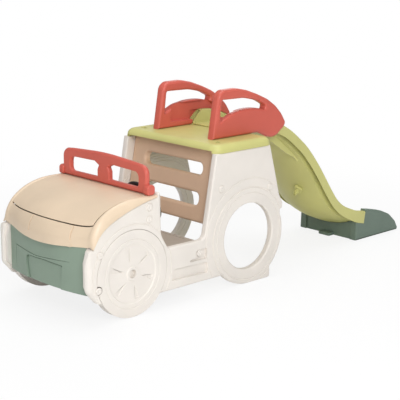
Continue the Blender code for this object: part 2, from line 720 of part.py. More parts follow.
def make_windshield():
    """The coral frame with two windows, a middle post with a mirror shape, and two end knobs."""
    rear = WINDSHIELD_FRONT + WINDSHIELD_THICKNESS
    frame = slab("windshield", windshield_outline(), WINDSHIELD_FRONT, rear, across_x, CORAL, WINDSHIELD_EDGE)
    for name, side in SIDES:
        corners = [
            (side * WINDOW_INNER, WINDOW_BOTTOM, 0.008),
            (side * WINDOW_OUTER, WINDOW_BOTTOM, 0.022),
            (side * WINDOW_OUTER, WINDOW_TOP, 0.030),
            (side * (WINDOW_INNER + 0.022), WINDOW_TOP + 0.004, 0.006),
            (side * (WINDOW_INNER - 0.014), WINDOW_TOP - 0.022, 0.006),
            (side * WINDOW_INNER, WINDOW_TOP - 0.036, 0.006),
        ]
        if side < 0:
            corners.reverse()
        window = slab(f"{name}_window", rounded(corners), WINDSHIELD_FRONT - 0.02, rear + 0.02, across_x)
        cut(frame, window)
        start = -0.012
        profile = [(0, start), (KNOB_RADIUS, start), (KNOB_RADIUS, KNOB_LENGTH - 0.008)]
        profile += [(KNOB_RADIUS - 0.008, KNOB_LENGTH), (0, KNOB_LENGTH)]
        knob = turned(f"{name}_knob", profile, 16)
        middle = WINDSHIELD_FRONT + WINDSHIELD_THICKNESS / 2
        lift = HOOD_TOP + SEAT_GAP + KNOB_RADIUS
        face_side(knob, side, (middle, side * WINDSHIELD_HALF_WIDTH, lift))
        add(frame, knob)


def steering_frame():
    """An empty on the steering axis, with its Z axis pointing at the driver."""
    made = bpy.data.objects.new("steering_axis", None)
    bpy.context.collection.objects.link(made)
    made.parent = FRAME
    made.location = (STEERING_X, STEERING_Y, STEERING_Z)
    made.rotation_euler.y = math.radians(90 - STEERING_TILT_DEG)
    return made


def make_dashboard(axis):
    """The panel behind the windshield, with the fixed column of the steering wheel."""
    half = FENDER_INNER - SEAT_GAP
    top = HOOD_TOP - SKIN - 3 * SEAT_GAP
    front = DASH_REAR - DASH_THICKNESS
    corners = [(front - 0.015, DASH_BOTTOM, 0.0), (DASH_REAR - 0.012, DASH_BOTTOM, 0.005), (DASH_REAR, 0.420, 0.030)]
    corners += [(DASH_REAR, top, 0.006), (WINDSHIELD_FRONT + 0.006, top, 0.0)]
    corners += [(WINDSHIELD_FRONT + 0.006, top - DASH_THICKNESS, 0.0), (front, top - DASH_THICKNESS, 0.0)]
    corners += [(front, 0.420, 0.030)]
    dash = slab("dashboard", rounded(corners), -half, half, across_y, CREAM)
    boss_low = -STEERING_SHAFT_LENGTH + COLLAR_LENGTH + 0.002
    cut(dash, drum("column_hole", COLUMN_RADIUS + SEAT_GAP, boss_low - 0.02, 0.0, 24, None, axis))
    tube = [(STEERING_SHAFT_RADIUS + PIN_GAP, boss_low), (COLUMN_RADIUS, boss_low)]
    tube += [(COLUMN_RADIUS, boss_low + COLUMN_LENGTH), (STEERING_SHAFT_RADIUS + PIN_GAP, boss_low + COLUMN_LENGTH)]
    turned("steering_column", [*tube, tube[0]], 24, CREAM, axis)


def make_steering(axis):
    """The wheel with its three spokes, the hub cap, the shaft, and the collar that holds it."""
    tool = bmesh.new()
    circle = bmesh.ops.create_circle(tool, segments=8, radius=STEERING_RIM_RADIUS)
    upright = Matrix.Translation((STEERING_RADIUS, 0, 0)) @ Matrix.Rotation(math.pi / 2, 4, "X")
    bmesh.ops.transform(tool, matrix=upright, verts=circle["verts"])
    bmesh.ops.spin(
        tool,
        geom=tool.verts[:] + tool.edges[:],
        axis=(0, 0, 1),
        cent=(0, 0, 0),
        angle=2 * math.pi,
        steps=28,
        use_merge=True,
        use_duplicate=False,
    )
    wheel = finish(tool, "steering_wheel", BLACK, axis)
    hub_low = -STEERING_HUB_LENGTH
    add(wheel, drum("steering_hub", STEERING_HUB_RADIUS, hub_low, 0.004, 24, None, axis))
    for index, turn in enumerate((90, 210, 330)):
        outline = rounded(
            [(0.0, -0.013, 0.0), (STEERING_RADIUS, -0.010, 0.0), (STEERING_RADIUS, 0.010, 0.0), (0.0, 0.013, 0.0)]
        )
        spoke = slab(f"steering_spoke_{index + 1}", outline, -0.010, -0.002, across_z, None, 0.0, axis)
        spoke.rotation_euler.z = math.radians(turn)
        add(wheel, spoke)
    cut(wheel, drum("steering_bore", STEERING_SHAFT_RADIUS + SEAT_GAP, hub_low - 0.01, 0.02, 20, None, axis))
    cap_low = 0.004 + SEAT_GAP
    cap = [(0, cap_low), (STEERING_HUB_RADIUS - 0.003, cap_low), (STEERING_HUB_RADIUS - 0.003, cap_low + 0.003)]
    cap += [(STEERING_HUB_RADIUS - 0.010, cap_low + 0.007), (0, cap_low + 0.008)]
    turned("steering_hub_cap", cap, 20, BLACK, axis)
    drum("steering_shaft", STEERING_SHAFT_RADIUS, -STEERING_SHAFT_LENGTH, 0.004, 20, BLACK, axis)
    low = -STEERING_SHAFT_LENGTH
    collar = [(STEERING_SHAFT_RADIUS + SEAT_GAP, low), (COLLAR_RADIUS, low), (COLLAR_RADIUS, low + COLLAR_LENGTH)]
    collar += [(STEERING_SHAFT_RADIUS + SEAT_GAP, low + COLLAR_LENGTH)]
    turned("steering_collar", [*collar, collar[0]], 20, BLACK, axis)


def make_bin():
    """The open storage tray under the lid, with its rim just below the lid."""
    _, side, _ = hood_profiles()
    half = FENDER_INNER - SEAT_GAP
    under = []
    for before, here, after in zip(side, side[1:], side[2:]):
        along = (after - before).normalized()
        under.append(here + Vector((along.y, -along.x)) * (SKIN + BIN_RIM_GAP))
    top = [(x, z) for x, z in under if BIN_FRONT < x < BIN_REAR]
    outline = [(BIN_FRONT + 0.03, BIN_BOTTOM), (BIN_REAR, BIN_BOTTOM), (BIN_REAR, top[-1][1] + 0.0006)]
    outline += [*reversed(top), (BIN_FRONT, top[0][1] - 0.010)]
    tray = slab("storage_bin", outline, -half, half, across_y, TAUPE)
    hollow = [(BIN_FRONT + 0.03 + BIN_WALL, BIN_BOTTOM + BIN_WALL), (BIN_REAR - BIN_WALL, BIN_BOTTOM + BIN_WALL)]
    hollow += [(BIN_REAR - BIN_WALL, 0.62), (BIN_FRONT + BIN_WALL, 0.62), (BIN_FRONT + BIN_WALL, top[0][1] - 0.010)]
    cut(tray, slab("bin_hollow", hollow, BIN_WALL - half, half - BIN_WALL, across_y))


def make_seat():
    """The moulded seat between the sills, hollow underneath."""
    half = PANEL_INNER - SEAT_GAP
    outline = rounded(
        [
            (SEAT_FRONT - 0.010, SEAT_BOTTOM, 0.0),
            (SEAT_REAR + 0.010, SEAT_BOTTOM, 0.0),
            (SEAT_REAR, SEAT_TOP, SEAT_EDGE),
            (SEAT_FRONT, SEAT_TOP, SEAT_EDGE),
        ]
    )
    seat = slab("seat", outline, -half, half, across_y, TAUPE)
    wall = SEAT_WALL
    hollow = [(SEAT_FRONT - 0.010 + wall, SEAT_BOTTOM - 0.02), (SEAT_REAR + 0.010 - wall, SEAT_BOTTOM - 0.02)]
    hollow += [(SEAT_REAR - wall, SEAT_TOP - wall), (SEAT_FRONT + wall, SEAT_TOP - wall)]
    cut(seat, slab("seat_hollow", hollow, wall - half, half - wall, across_y))


# Ladder and roof

def ladder_face_x(height):
    """The ladder's front face at a height: parallel to the cab's front edge and set back from it."""
    lean = math.tan(math.radians(LADDER_LEAN_DEG))
    return CAB_FRONT_X + LADDER_SETBACK - lean * (CAB_TOP - height)


def make_ladder():
    """The leaning ladder panel with two step slots."""
    half = PANEL_INNER - SEAT_GAP
    lean = math.radians(LADDER_LEAN_DEG)
    tall = (CAB_TOP + ROOF_FRONT_LIFT / 2 - LADDER_BOTTOM) / math.cos(lean)
    outline = rounded([(-half, 0, 0.006), (half, 0, 0.006), (half, tall, 0.0), (-half, tall, 0.0)])
    place = (ladder_face_x(LADDER_BOTTOM), 0, LADDER_BOTTOM)
    ladder = slab("ladder_panel", outline, 0, LADDER_THICKNESS, across_x, TAN, LADDER_EDGE)
    ladder.location = place
    ladder.rotation_euler.y = lean
    for index, (low, high) in enumerate(SLOT_HEIGHTS):
        low = (low - LADDER_BOTTOM) / math.cos(lean)
        high = (high - LADDER_BOTTOM) / math.cos(lean)
        corners = [(-SLOT_HALF_WIDTH, low, SLOT_CORNER), (SLOT_HALF_WIDTH, low, SLOT_CORNER)]
        corners += [(SLOT_HALF_WIDTH, high, SLOT_CORNER), (-SLOT_HALF_WIDTH, high, SLOT_CORNER)]
        slot = slab(f"slot_{index + 1}", rounded(corners), -0.05, LADDER_THICKNESS + 0.05, across_x)
        slot.location = place
        slot.rotation_euler.y = lean
        cut(ladder, slot)


def make_roof():
    """The roof deck: a tray turned upside down on the side panels."""
    bottom = CAB_TOP + SEAT_GAP
    half = BODY_HALF_WIDTH
    corners = [(ROOF_FRONT, -half, ROOF_CORNER), (ROOF_REAR, -half, ROOF_CORNER)]
    corners += [(ROOF_REAR, half, ROOF_CORNER), (ROOF_FRONT, half, ROOF_CORNER)]
    outline = rounded(corners, 15)
    loops = [[across_z(point, bottom) for point in outline]]
    for turn_deg in (0, 30, 60, 90):
        turn = math.radians(turn_deg)
        drop = ROOF_EDGE * (1 - math.cos(turn))
        rise = DECK_Z - ROOF_EDGE * (1 - math.sin(turn))
        loops.append([across_z(point, rise) for point in inset(outline, drop)])
    roof = loft("roof_deck", loops, LIME)
    inner = PANEL_INNER - SEAT_GAP
    under = DECK_Z - ROOF_DECK
    box = rounded([(0.545, -inner, 0.0), (ROOF_REAR - 0.020, -inner, 0.0), (ROOF_REAR - 0.020, inner, 0.0)] + [(0.545, inner, 0.0)])
    cut(roof, slab("roof_hollow", box, bottom - 0.05, under, across_z))
    notch = [(ROOF_FRONT - 0.05, -inner), (0.60, -inner), (0.60, inner), (ROOF_FRONT - 0.05, inner)]
    cut(roof, slab("roof_front_notch", notch, bottom - 0.04, bottom + ROOF_FRONT_LIFT, across_z))
    for name, side in SIDES:
        long, wide = POCKET_LENGTH / 2, POCKET_WIDTH / 2
        y = side * POCKET_Y
        pocket = [(POCKET_X - long, y - wide), (POCKET_X + long, y - wide)]
        pocket += [(POCKET_X + long, y + wide), (POCKET_X - long, y + wide)]
        cut(roof, slab(f"{name}_pocket", pocket, DECK_Z - POCKET_DEPTH, DECK_Z + 0.02, across_z))


# Slide

def chute_path():
    """Points along the top of the chute's rim with the direction down through it."""
    fall = HUMP_TOP - CHUTE_END_RIM
    steps = [(CHUTE_START, 1.0), (0.950, 1.0), (1.010, 0.994), (1.080, 0.963), (1.150, 0.916), (1.224, 0.853)]
    steps += [(1.287, 0.783), (1.370, 0.675), (1.466, 0.505), (1.575, 0.277), (1.635, 0.164), (1.692, 0.098)]
    steps += [(1.760, 0.052), (1.822, 0.018), (CHUTE_END, 0.0)]
    top = [(x, CHUTE_END_RIM + share * fall) for x, share in steps]
    points = smooth(top, CHUTE_STATIONS)
    stations = []
    for index, point in enumerate(points):
        before = points[max(index - 1, 0)]
        after = points[min(index + 1, len(points) - 1)]
        along = (after - before).normalized()
        stations.append((point, Vector((along.y, -along.x))))
    return stations


def chute_depths(point):
    """Depths below the rim, at one place: skirt, edge of the bed, and middle of the bed."""
    bed = HUMP_TOP - DECK_Z - SEAT_GAP - CHUTE_WALL
    share = min(1.0, max(0.0, (point.x - ROOF_REAR - 0.02) / 0.25))
    share = share * share * (3 - 2 * share)
    low = min(1.0, max(0.0, (point.x - CHUTE_END + 0.25) / 0.25))
    skirt = (bed + CHUTE_WALL) * (1 - share) + CHUTE_SKIRT * share + (CHUTE_END_SKIRT - CHUTE_SKIRT) * low
    edge = (bed - 0.002) * (1 - share) + CHUTE_EDGE_DEPTH * share
    return skirt, edge, bed * (1 - share) + CHUTE_DEPTH * share


def bed_arc(edge, middle, half, steps):
    """The bed's shallow curve from one wall to the other, as (across, depth)."""
    points = []
    for step in range(steps + 1):
        across = half * (1 - 2 * step / steps)
        points.append((across, middle - (middle - edge) * (across / half) ** 2))
    return points


def chute_section(point):
    """The closed outline of the chute's wall at one place, as (across, depth below the rim)."""
    skirt, edge, middle = chute_depths(point)
    outer = CHUTE_HALF_WIDTH
    inner = outer - CHUTE_RIM
    wall = CHUTE_WALL
    half = [(outer, skirt), (outer, wall), (outer - wall, 0), (inner + wall, 0), (inner, wall)]
    bed = bed_arc(edge, middle, inner - 0.006, 8)
    under = bed_arc(edge + wall, middle + wall, inner - 0.002, 8)
    channel = [(inner + wall, wall * 1.5), (outer - wall, wall * 1.5), (outer - wall, skirt)]
    section = half + bed + [(-across, depth) for across, depth in reversed(half)]
    section += [(-across, depth) for across, depth in reversed(channel)]
    section += list(reversed(under)) + channel
    return section


def chute_loops(section):
    """Places the section given for each station in space."""
    loops = []
    for point, down in chute_path():
        loops.append([across_y(point + down * depth, across) for across, depth in section(point)])
    return loops


def chute_envelope(point):
    """A solid block round the chute's section, a seat gap larger, for seating it in the foot."""
    skirt, edge, middle = chute_depths(point)
    outer = CHUTE_HALF_WIDTH + 2 * SEAT_GAP
    inner = CHUTE_HALF_WIDTH - CHUTE_RIM
    gap = 2 * SEAT_GAP
    under = bed_arc(edge + CHUTE_WALL + gap, middle + CHUTE_WALL + gap, inner, 8)
    low = max(skirt, edge + CHUTE_WALL) + gap
    return [(outer, -0.25), (outer, low), (inner + 0.004, low), *under, (-inner - 0.004, low), (-outer, low), (-outer, -0.25)]


def rail_envelope(point):
    """The space that one rim of the chute takes inside a handrail."""
    outer = CHUTE_HALF_WIDTH + 2 * SEAT_GAP
    return [(outer, 0.12), (outer, -2 * SEAT_GAP), (RAIL_INNER - 0.02, -2 * SEAT_GAP), (RAIL_INNER - 0.02, 0.12)]


def make_chute():
    """The slide's chute: a lofted trough with turned-down rims."""
    chute = loft("slide_chute", chute_loops(chute_section), LIME)
    nose = [(CHUTE_START - 0.02, DECK_Z + 0.012), (CHUTE_START, DECK_Z + 0.012), (0.892, 0.778), (0.916, 0.800)]
    nose += [(0.948, HUMP_TOP + 0.002), (0.948, 0.90), (CHUTE_START - 0.02, 0.90)]
    cut(chute, slab("chute_nose", nose, -0.3, 0.3, across_y))


def make_foot():
    """The slide's foot: two wings, a run-out and a cradle for the end of the chute."""
    corners = [(FOOT_FRONT, 0.0, 0.003), (FOOT_END - 0.006, 0.0, 0.003), (FOOT_END, 0.014, 0.006)]
    corners += [(FOOT_END - 0.028, 0.059, 0.040), (FOOT_END - 0.088, 0.110, 0.080), (FOOT_END - 0.166, 0.143, 0.12)]
    corners += [(FOOT_END - 0.256, 0.164, 0.15), (CHUTE_END, FOOT_TOP, 0.0), (CHUTE_END, FOOT_TOP + 0.07, 0.0)]
    corners += [(FOOT_FRONT + 0.010, FOOT_TOP + 0.07, 0.0)]
    half = FOOT_HALF_WIDTH
    foot = slab("slide_foot", rounded(corners), -half, half, across_y, SLATE, 0.006)
    space = chute_loops(chute_envelope)
    past = (space[-1][0] - space[-2][0]).normalized() * 2 * SEAT_GAP
    space.append([point + past for point in space[-1]])
    cut(foot, loft("chute_space", space, None))
    loops = []
    for x, middle, edge, inner in (
        (CHUTE_END - 0.004, CHUTE_END_RIM - CHUTE_DEPTH, CHUTE_END_RIM - CHUTE_EDGE_DEPTH, 0.1785),
        (FOOT_END - 0.232, 0.056, 0.092, 0.180),
        (FOOT_END - 0.144, 0.043, 0.064, 0.184),
        (FOOT_END - 0.062, 0.034, 0.044, 0.190),
        (FOOT_END + 0.050, FOOT_LIP, FOOT_LIP + 0.002, 0.196),
    ):
        bed = [(y, edge - (edge - middle) * (1 - (y / inner) ** 2)) for y in (-inner + 2 * inner * i / 8 for i in range(9))]
        loops.append([across_x(point, x) for point in [(-inner, 0.30), *bed, (inner, 0.30)]])
    cut(foot, loft("run_out", loops, None))
    corners = [(FOOT_FRONT - TAB_LENGTH, -TAB_HALF_WIDTH, 0.008), (FOOT_FRONT + 0.01, -TAB_HALF_WIDTH, 0.0)]
    corners += [(FOOT_FRONT + 0.01, TAB_HALF_WIDTH, 0.0), (FOOT_FRONT - TAB_LENGTH, TAB_HALF_WIDTH, 0.008)]
    add(foot, slab("ground_tab", rounded(corners), 0.0, TAB_HEIGHT, across_z))
    hole = drum("tab_hole", TAB_HOLE_RADIUS, -0.02, 0.05, 16)
    hole.location = (FOOT_FRONT - TAB_LENGTH / 2, 0, 0)
    cut(foot, hole)


def make_handrail(name, side):
    """A handrail: a tubular front post and top bar over a solid web that clasps the chute's rim."""
    bottom = DECK_Z + SEAT_GAP
    corners = [(RAIL_FRONT, bottom, 0.0), (0.955, bottom, 0.020), (1.020, 0.714, 0.060), (1.062, 0.704, 0.060)]
    corners += [(1.098, 0.712, 0.030), (1.152, 0.752, 0.040), (1.166, 0.774, 0.022), (1.132, 0.826, 0.10)]
    corners += [(1.085, 0.872, 0.12), (1.020, 0.914, 0.15), (0.950, 0.944, 0.20), (0.870, 0.972, 0.20)]
    corners += [(0.800, 0.987, 0.20), (0.694, 0.986, 0.050)]
    low, high = sorted((side * RAIL_INNER, side * RAIL_OUTER))
    rail = slab(f"{name}_handrail", rounded(corners, 18), low, high, across_y, CORAL, RAIL_EDGE)
    window = [(0.706, 0.826, 0.008), (0.765, 0.858, 0.10), (0.850, 0.870, 0.30), (0.930, 0.868, 0.30)]
    window += [(1.004, 0.850, 0.016), (1.018, 0.884, 0.020), (0.950, 0.918, 0.15), (0.850, 0.940, 0.20)]
    window += [(0.726, 0.944, 0.022)]
    cut(rail, slab(f"{name}_grip", rounded(window, 20), low - 0.02, high + 0.02, across_y))
    loops = []
    for loop in chute_loops(rail_envelope)[:12]:
        loops.append([Vector((p.x, side * p.y, p.z)) for p in loop])
    cut(rail, loft(f"{name}_rim_space", loops, None))


def belly_point(station, across):
    """A point on the underside of the chute's bed."""
    point, down = station
    skirt, edge, middle = chute_depths(point)
    share = across / (CHUTE_HALF_WIDTH - CHUTE_RIM - 0.002)
    return across_y(point + down * (middle + CHUTE_WALL - (middle - edge) * share * share), across)


def make_connector():
    """The hose connector under the chute, square to it: a diamond plate, a body and a nozzle."""
    stations = chute_path()
    above, below = next(pair for pair in zip(stations, stations[1:]) if pair[1][0].x > CONNECTOR_X)
    inner = -(CHUTE_HALF_WIDTH - CHUTE_RIM - 0.002) / 4
    outer = 2 * inner
    high = [belly_point(above, inner), belly_point(above, outer)]
    low = [belly_point(below, inner), belly_point(below, outer)]
    along = (low[0] + low[1] - high[0] - high[1]).normalized()
    down = (high[0] + low[0] - high[1] - low[1]).cross(along).normalized()
    axis = bpy.data.objects.new("connector_axis", None)
    bpy.context.collection.objects.link(axis)
    axis.parent = FRAME
    axis.location = (high[0] + high[1] + low[0] + low[1]) / 4 + down * SEAT_GAP
    axis.rotation_euler = Matrix((along, down.cross(along), down)).transposed().to_euler()
    half = CONNECTOR_PLATE / math.sqrt(2)
    corners = [(-half, 0, 0.004), (0, -half, 0.004), (half, 0, 0.004), (0, half, 0.004)]
    plate = slab("hose_connector", rounded(corners), 0, CONNECTOR_PLATE_THICKNESS, across_z, LIME, 0.0, axis)
    low = CONNECTOR_PLATE_THICKNESS - 0.002
    mid = low + CONNECTOR_BODY_LENGTH
    top = mid + CONNECTOR_NOZZLE_LENGTH
    profile = [(0, low), (CONNECTOR_BODY_RADIUS, low), (CONNECTOR_BODY_RADIUS, mid), (CONNECTOR_NOZZLE_RADIUS, mid)]
    profile += [(CONNECTOR_NOZZLE_RADIUS, top), (0, top)]
    add(plate, turned("connector_nozzle", profile, 12, None, axis))


steering_axis = steering_frame()
make_hood()
for side_name, side_sign in SIDES:
    make_side_panel(side_name, side_sign)
    make_wheel(side_name, side_sign)
    make_screws(side_name, side_sign)
    make_handrail(side_name, side_sign)
make_bumper()
make_windshield()
make_dashboard(steering_axis)
make_steering(steering_axis)
make_bin()
make_seat()
make_ladder()
make_roof()
make_chute()
make_foot()
make_connector()
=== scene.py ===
"""Car playhouse with a slide: the moulded plastic pieces as they look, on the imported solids."""

import math

import bmesh
import bpy
from mathutils import Matrix, Vector


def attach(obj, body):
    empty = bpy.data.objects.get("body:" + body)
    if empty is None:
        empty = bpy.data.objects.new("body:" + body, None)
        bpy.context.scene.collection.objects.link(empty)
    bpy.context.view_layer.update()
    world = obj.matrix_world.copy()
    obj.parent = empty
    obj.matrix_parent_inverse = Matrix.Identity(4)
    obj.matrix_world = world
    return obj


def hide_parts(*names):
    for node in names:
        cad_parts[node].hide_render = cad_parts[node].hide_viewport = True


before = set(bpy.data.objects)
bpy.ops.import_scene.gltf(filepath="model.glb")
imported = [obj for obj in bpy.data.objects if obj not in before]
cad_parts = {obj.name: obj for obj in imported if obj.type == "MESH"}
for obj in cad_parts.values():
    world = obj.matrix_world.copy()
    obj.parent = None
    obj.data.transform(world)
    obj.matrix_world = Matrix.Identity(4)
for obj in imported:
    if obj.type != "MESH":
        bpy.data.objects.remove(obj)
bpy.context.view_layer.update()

# The car is drawn from its front axle, and the axle stands here in the frame
AXLE = Vector((-0.9585, 0.0, 0.0))
BODY_HALF_WIDTH = 0.353
PANEL_INNER = 0.317
FENDER_INNER = 0.300
SEAT_GAP = 0.0003
SIDES = (("left", -1), ("right", 1))

WHEEL_RADIUS = 0.210
WHEEL_THICKNESS = 0.045
WHEEL_GAP = 0.0017
WHEEL_FACE_DISH = 0.005
HUB_BORE_RADIUS = 0.0205
HUB_BORE_DEPTH = 0.020
FLUTE_COUNT = 6
FLUTE_START_DEG = 42

RING_X = 0.767
RING_RADIUS = 0.250
OPENING_RADIUS = 0.171
CAB_TOP = 0.701
CAB_FRONT_X = 0.535
CAB_REAR_X = 0.917
SILL_TOP = 0.289
LADDER_LEAN = math.radians(10.4)

HOOD_TOP = 0.561
HOOD_REAR = 0.152
HOOD_STATIONS = 121
SKIN = 0.006
LID_HALF_WIDTH = 0.315
HOOD_HALF_WIDTH = 0.356
LID_GAP = 0.0015
LID_FRONT_MIDDLE = -0.244
LID_FRONT_SIDE = -0.200
LID_REAR = 0.106
LID_RISE = 0.0016
LID_FRONT_RISE = 0.0024
STRIP_FRONT = 0.113
SHOULDER_BULGE = 0.006
HOOD_WALL = 0.0045
HOOD_EDGE = 0.0014
HINGE_X = 0.090
HINGE_Z = HOOD_TOP - 0.012
LUG_RADIUS = 0.008
LUG_WIDTH = 0.016
PIN_BORE_RADIUS = 0.0039
APRON_ROWS = 18
LID_ROWS = 44
STRIP_ROWS = 6
FENDER_COLUMNS = (0.15, 0.3, 0.45, 0.6, 0.72, 0.82, 0.9, 0.96, 1.0)
APRON_CREASES = (0.080, -0.210)
CREASE_COLUMNS = (-0.0032, -0.0014, 0.0014, 0.0032)
CREASE_CLEAR = 0.006
CREASE_DEPTH = 0.0075
CREASE_DROP = 0.0025
CREASE_DRIFT = 0.010

WINDSHIELD_FRONT = 0.111
WINDSHIELD_REAR = 0.139
WINDSHIELD_TOP = 0.717
WINDSHIELD_HALF_WIDTH = 0.322

STEERING_PLACE = (0.240, -0.147, 0.478)
STEERING_TILT = math.radians(65)
STEERING_RIM_RADIUS = 0.105
STEERING_TUBE_RADIUS = 0.012
SHAFT_LOW = -0.098
SHAFT_BORE = 0.0093
HUB_TOP = 0.004

DECK_Z = 0.743
DECK_WALL = 0.008
DECK_EDGE = 0.035
LADDER_LOW = 0.341
LADDER_DEPTH = 0.045
LADDER_SLOTS = ((0.406, 0.500), (0.559, 0.648))
HUMP_TOP = 0.818
HUMP_END = 0.955
HUMP_FADE = 0.25
CHUTE_START = 0.872
CHUTE_END = 1.885
CHUTE_END_RIM = 0.164
CHUTE_HALF_WIDTH = 0.2165
CHUTE_RIM = 0.038
CHUTE_WALL = 0.006
CHUTE_STATIONS = 85
SKIRT_DEPTH = 0.052
SKIRT_END_EXTRA = 0.020
BED_EDGE_DEPTH = 0.055
BED_DEPTH = 0.095
RIB_ACROSS = 0.150
RIB_RUN = (1.08, 1.40)
FOOT_FRONT = 1.804
FOOT_END = 2.202
FOOT_TOP = 0.175
FOOT_HALF_WIDTH = 0.2163
CRADLE_START = 1.60
TAB_HOLE_RADIUS = 0.006
RAIL_INNER = -0.180
RAIL_OUTER = -0.2326
RAIL_START = 0.629
RAIL_STATIONS = 46
CONNECTOR_X = 1.532
SEAT_TOP = 0.283
BUMPER_LOW = 0.139
BUMPER_HIGH = 0.372
BUMPER_BOW = 0.036

SCREW_PLACES = (
    ("cowl_screw_upper", 0.103, 0.512),
    ("cowl_screw_lower", 0.102, 0.453),
    ("fender_screw_upper", -0.191, 0.335),
    ("fender_screw_lower", -0.203, 0.171),
    ("sill_screw", 0.422, 0.229),
    ("cab_screw_front", 0.571, 0.524),
    ("cab_screw_rear", 0.917, 0.483),
)


# Placing an outline in space

def across_x(point, depth):
    return Vector((depth, point[0], point[1]))


def across_y(point, depth):
    return Vector((point[0], depth, point[1]))


def across_z(point, depth):
    return Vector((point[0], point[1], depth))


def arc(centre, radius, start_deg, end_deg, steps):
    """Points on an arc, from one angle to the other."""
    points = []
    for step in range(steps + 1):
        angle = math.radians(start_deg + (end_deg - start_deg) * step / steps)
        points.append((centre[0] + radius * math.cos(angle), centre[1] + radius * math.sin(angle), 0.0))
    return points


def flowing(points, count):
    """Points evenly spaced along a smooth curve through the given ones."""
    knots = [Vector(p) for p in points]
    knots = [2 * knots[0] - knots[1], *knots, 2 * knots[-1] - knots[-2]]
    fine = []
    for a, b, c, d in zip(knots, knots[1:], knots[2:], knots[3:]):
        for step in range(16):
            t = step / 16
            bend = (2 * a - 5 * b + 4 * c - d) * t**2 + (3 * b - a - 3 * c + d) * t**3
            fine.append(0.5 * (2 * b + (c - a) * t + bend))
    fine.append(knots[-2])
    lengths = [0.0]
    for a, b in zip(fine, fine[1:]):
        lengths.append(lengths[-1] + (b - a).length)
    even = []
    place = 0
    for step in range(count):
        target = lengths[-1] * step / (count - 1)
        while place < len(fine) - 2 and lengths[place + 1] < target:
            place += 1
        share = (target - lengths[place]) / (lengths[place + 1] - lengths[place])
        even.append(fine[place].lerp(fine[place + 1], share))
    return even


# Moulding tools

TOOL_MARGIN = 0.02
LAID_INWARDS = Matrix.Rotation(math.radians(-90), 4, "X")
QUARTER_TURNS = [math.radians(15 * step) for step in range(7)]
QUARTER_ROUND = [
    (math.sin(b) - math.sin(a), math.cos(a) - math.cos(b)) for a, b in zip(QUARTER_TURNS, QUARTER_TURNS[1:])
]


def rounded(tool, geom, offset, steps, affect="EDGES", clamp=False):
    """Rounds edges or corners by a bevel."""
    bmesh.ops.bevel(
        tool, geom=geom, offset=offset, offset_type="OFFSET", segments=steps,
        profile=0.5, affect=affect, clamp_overlap=clamp, material=-1,
    )


def rectangle(left, low, right, high, radius=0.0):
    """The four corners of an outline, all with one radius."""
    return [(left, low, radius), (right, low, radius), (right, high, radius), (left, high, radius)]


def outline_face(corners, place, depth, steps=5):
    """A flat face through (across, up, radius) corners, each turned by a vertex bevel."""
    tool = bmesh.new()
    points = [tool.verts.new(place(corner, depth)) for corner in corners]
    tool.faces.new(points)
    for index, (across, up, radius) in enumerate(corners):
        if radius == 0:
            continue
        here = Vector((across, up))
        before = Vector(corners[index - 1][:2]) - here
        after = Vector(corners[(index + 1) % len(corners)][:2]) - here
        half = before.angle(after) / 2
        reach = min(radius / math.tan(half), 0.49 * before.length, 0.49 * after.length)
        rounded(tool, [points[index]], reach, steps, "VERTICES")
    return tool


def pushed(tool, face, move):
    """Extrudes a face by a move and gives the new face."""
    made = bmesh.ops.extrude_face_region(tool, geom=[face])["geom"]
    bmesh.ops.translate(tool, verts=[g for g in made if isinstance(g, bmesh.types.BMVert)], vec=move)
    if face.is_valid and any(len(edge.link_faces) > 2 for edge in face.edges):
        bmesh.ops.delete(tool, geom=[face], context="FACES_ONLY")
    return next(g for g in made if isinstance(g, bmesh.types.BMFace))


def closed(tool):
    """Fills what is open, merges doubles and turns the faces outwards."""
    bmesh.ops.remove_doubles(tool, verts=tool.verts, dist=1e-6)
    rims = [edge for edge in tool.edges if edge.is_boundary]
    if rims:
        bmesh.ops.holes_fill(tool, edges=rims, sides=0)
    bmesh.ops.recalc_face_normals(tool, faces=tool.faces)
    return tool


def slab(corners, low, high, place, edge=0.0, steps=5):
    """An outline pushed from low to high, with the edges of both faces rounded."""
    tool = outline_face(corners, place, low, steps)
    pushed(tool, tool.faces[:][0], place((0, 0), high) - place((0, 0), low))
    closed(tool)
    if edge:
        most = max(len(face.verts) for face in tool.faces)
        rims = {e for face in tool.faces if len(face.verts) == most for e in face.edges}
        rounded(tool, list(rims), edge, 4)
    return tool


def sunk(tool, face, move, inward):
    """Insets a face and pushes it on."""
    bmesh.ops.inset_region(tool, faces=[face], thickness=inward, use_even_offset=True, use_boundary=True)
    bmesh.ops.translate(tool, verts=face.verts[:], vec=move)


def pressing(corners, surface, bottom, place, lip=0.0, floor=0.0):
    """A tool that presses an outline in from a surface, with a rounded lip and floor."""
    way = 1 if bottom > surface else -1
    axis = (place((0, 0), 1) - place((0, 0), 0)) * way
    tool = outline_face(corners, place, surface - way * TOOL_MARGIN)
    face = pushed(tool, tool.faces[:][0], axis * TOOL_MARGIN)
    if lip:
        for sine, cosine in QUARTER_ROUND:
            sunk(tool, face, axis * lip * cosine, lip * sine)
    straight = abs(bottom - surface) - lip - floor
    if straight > 0:
        face = pushed(tool, face, axis * straight)
    if floor:
        for sine, cosine in QUARTER_ROUND:
            sunk(tool, face, axis * floor * sine, floor * cosine)
    return closed(tool)


def through(corners, low, high, place, lip):
    """Two tools that open a hole with rounded lips on both faces."""
    return [
        pressing(corners, low, high + TOOL_MARGIN, place, lip),
        pressing(corners, high, high - lip, place, lip),
    ]


def spun(tool, steps):
    """Turns all that the tool holds once about Z and closes it."""
    bmesh.ops.spin(
        tool, geom=tool.verts[:] + tool.edges[:], axis=(0, 0, 1), cent=(0, 0, 0), angle=2 * math.pi,
        steps=steps, use_merge=True, use_duplicate=False,
    )
    return closed(tool)


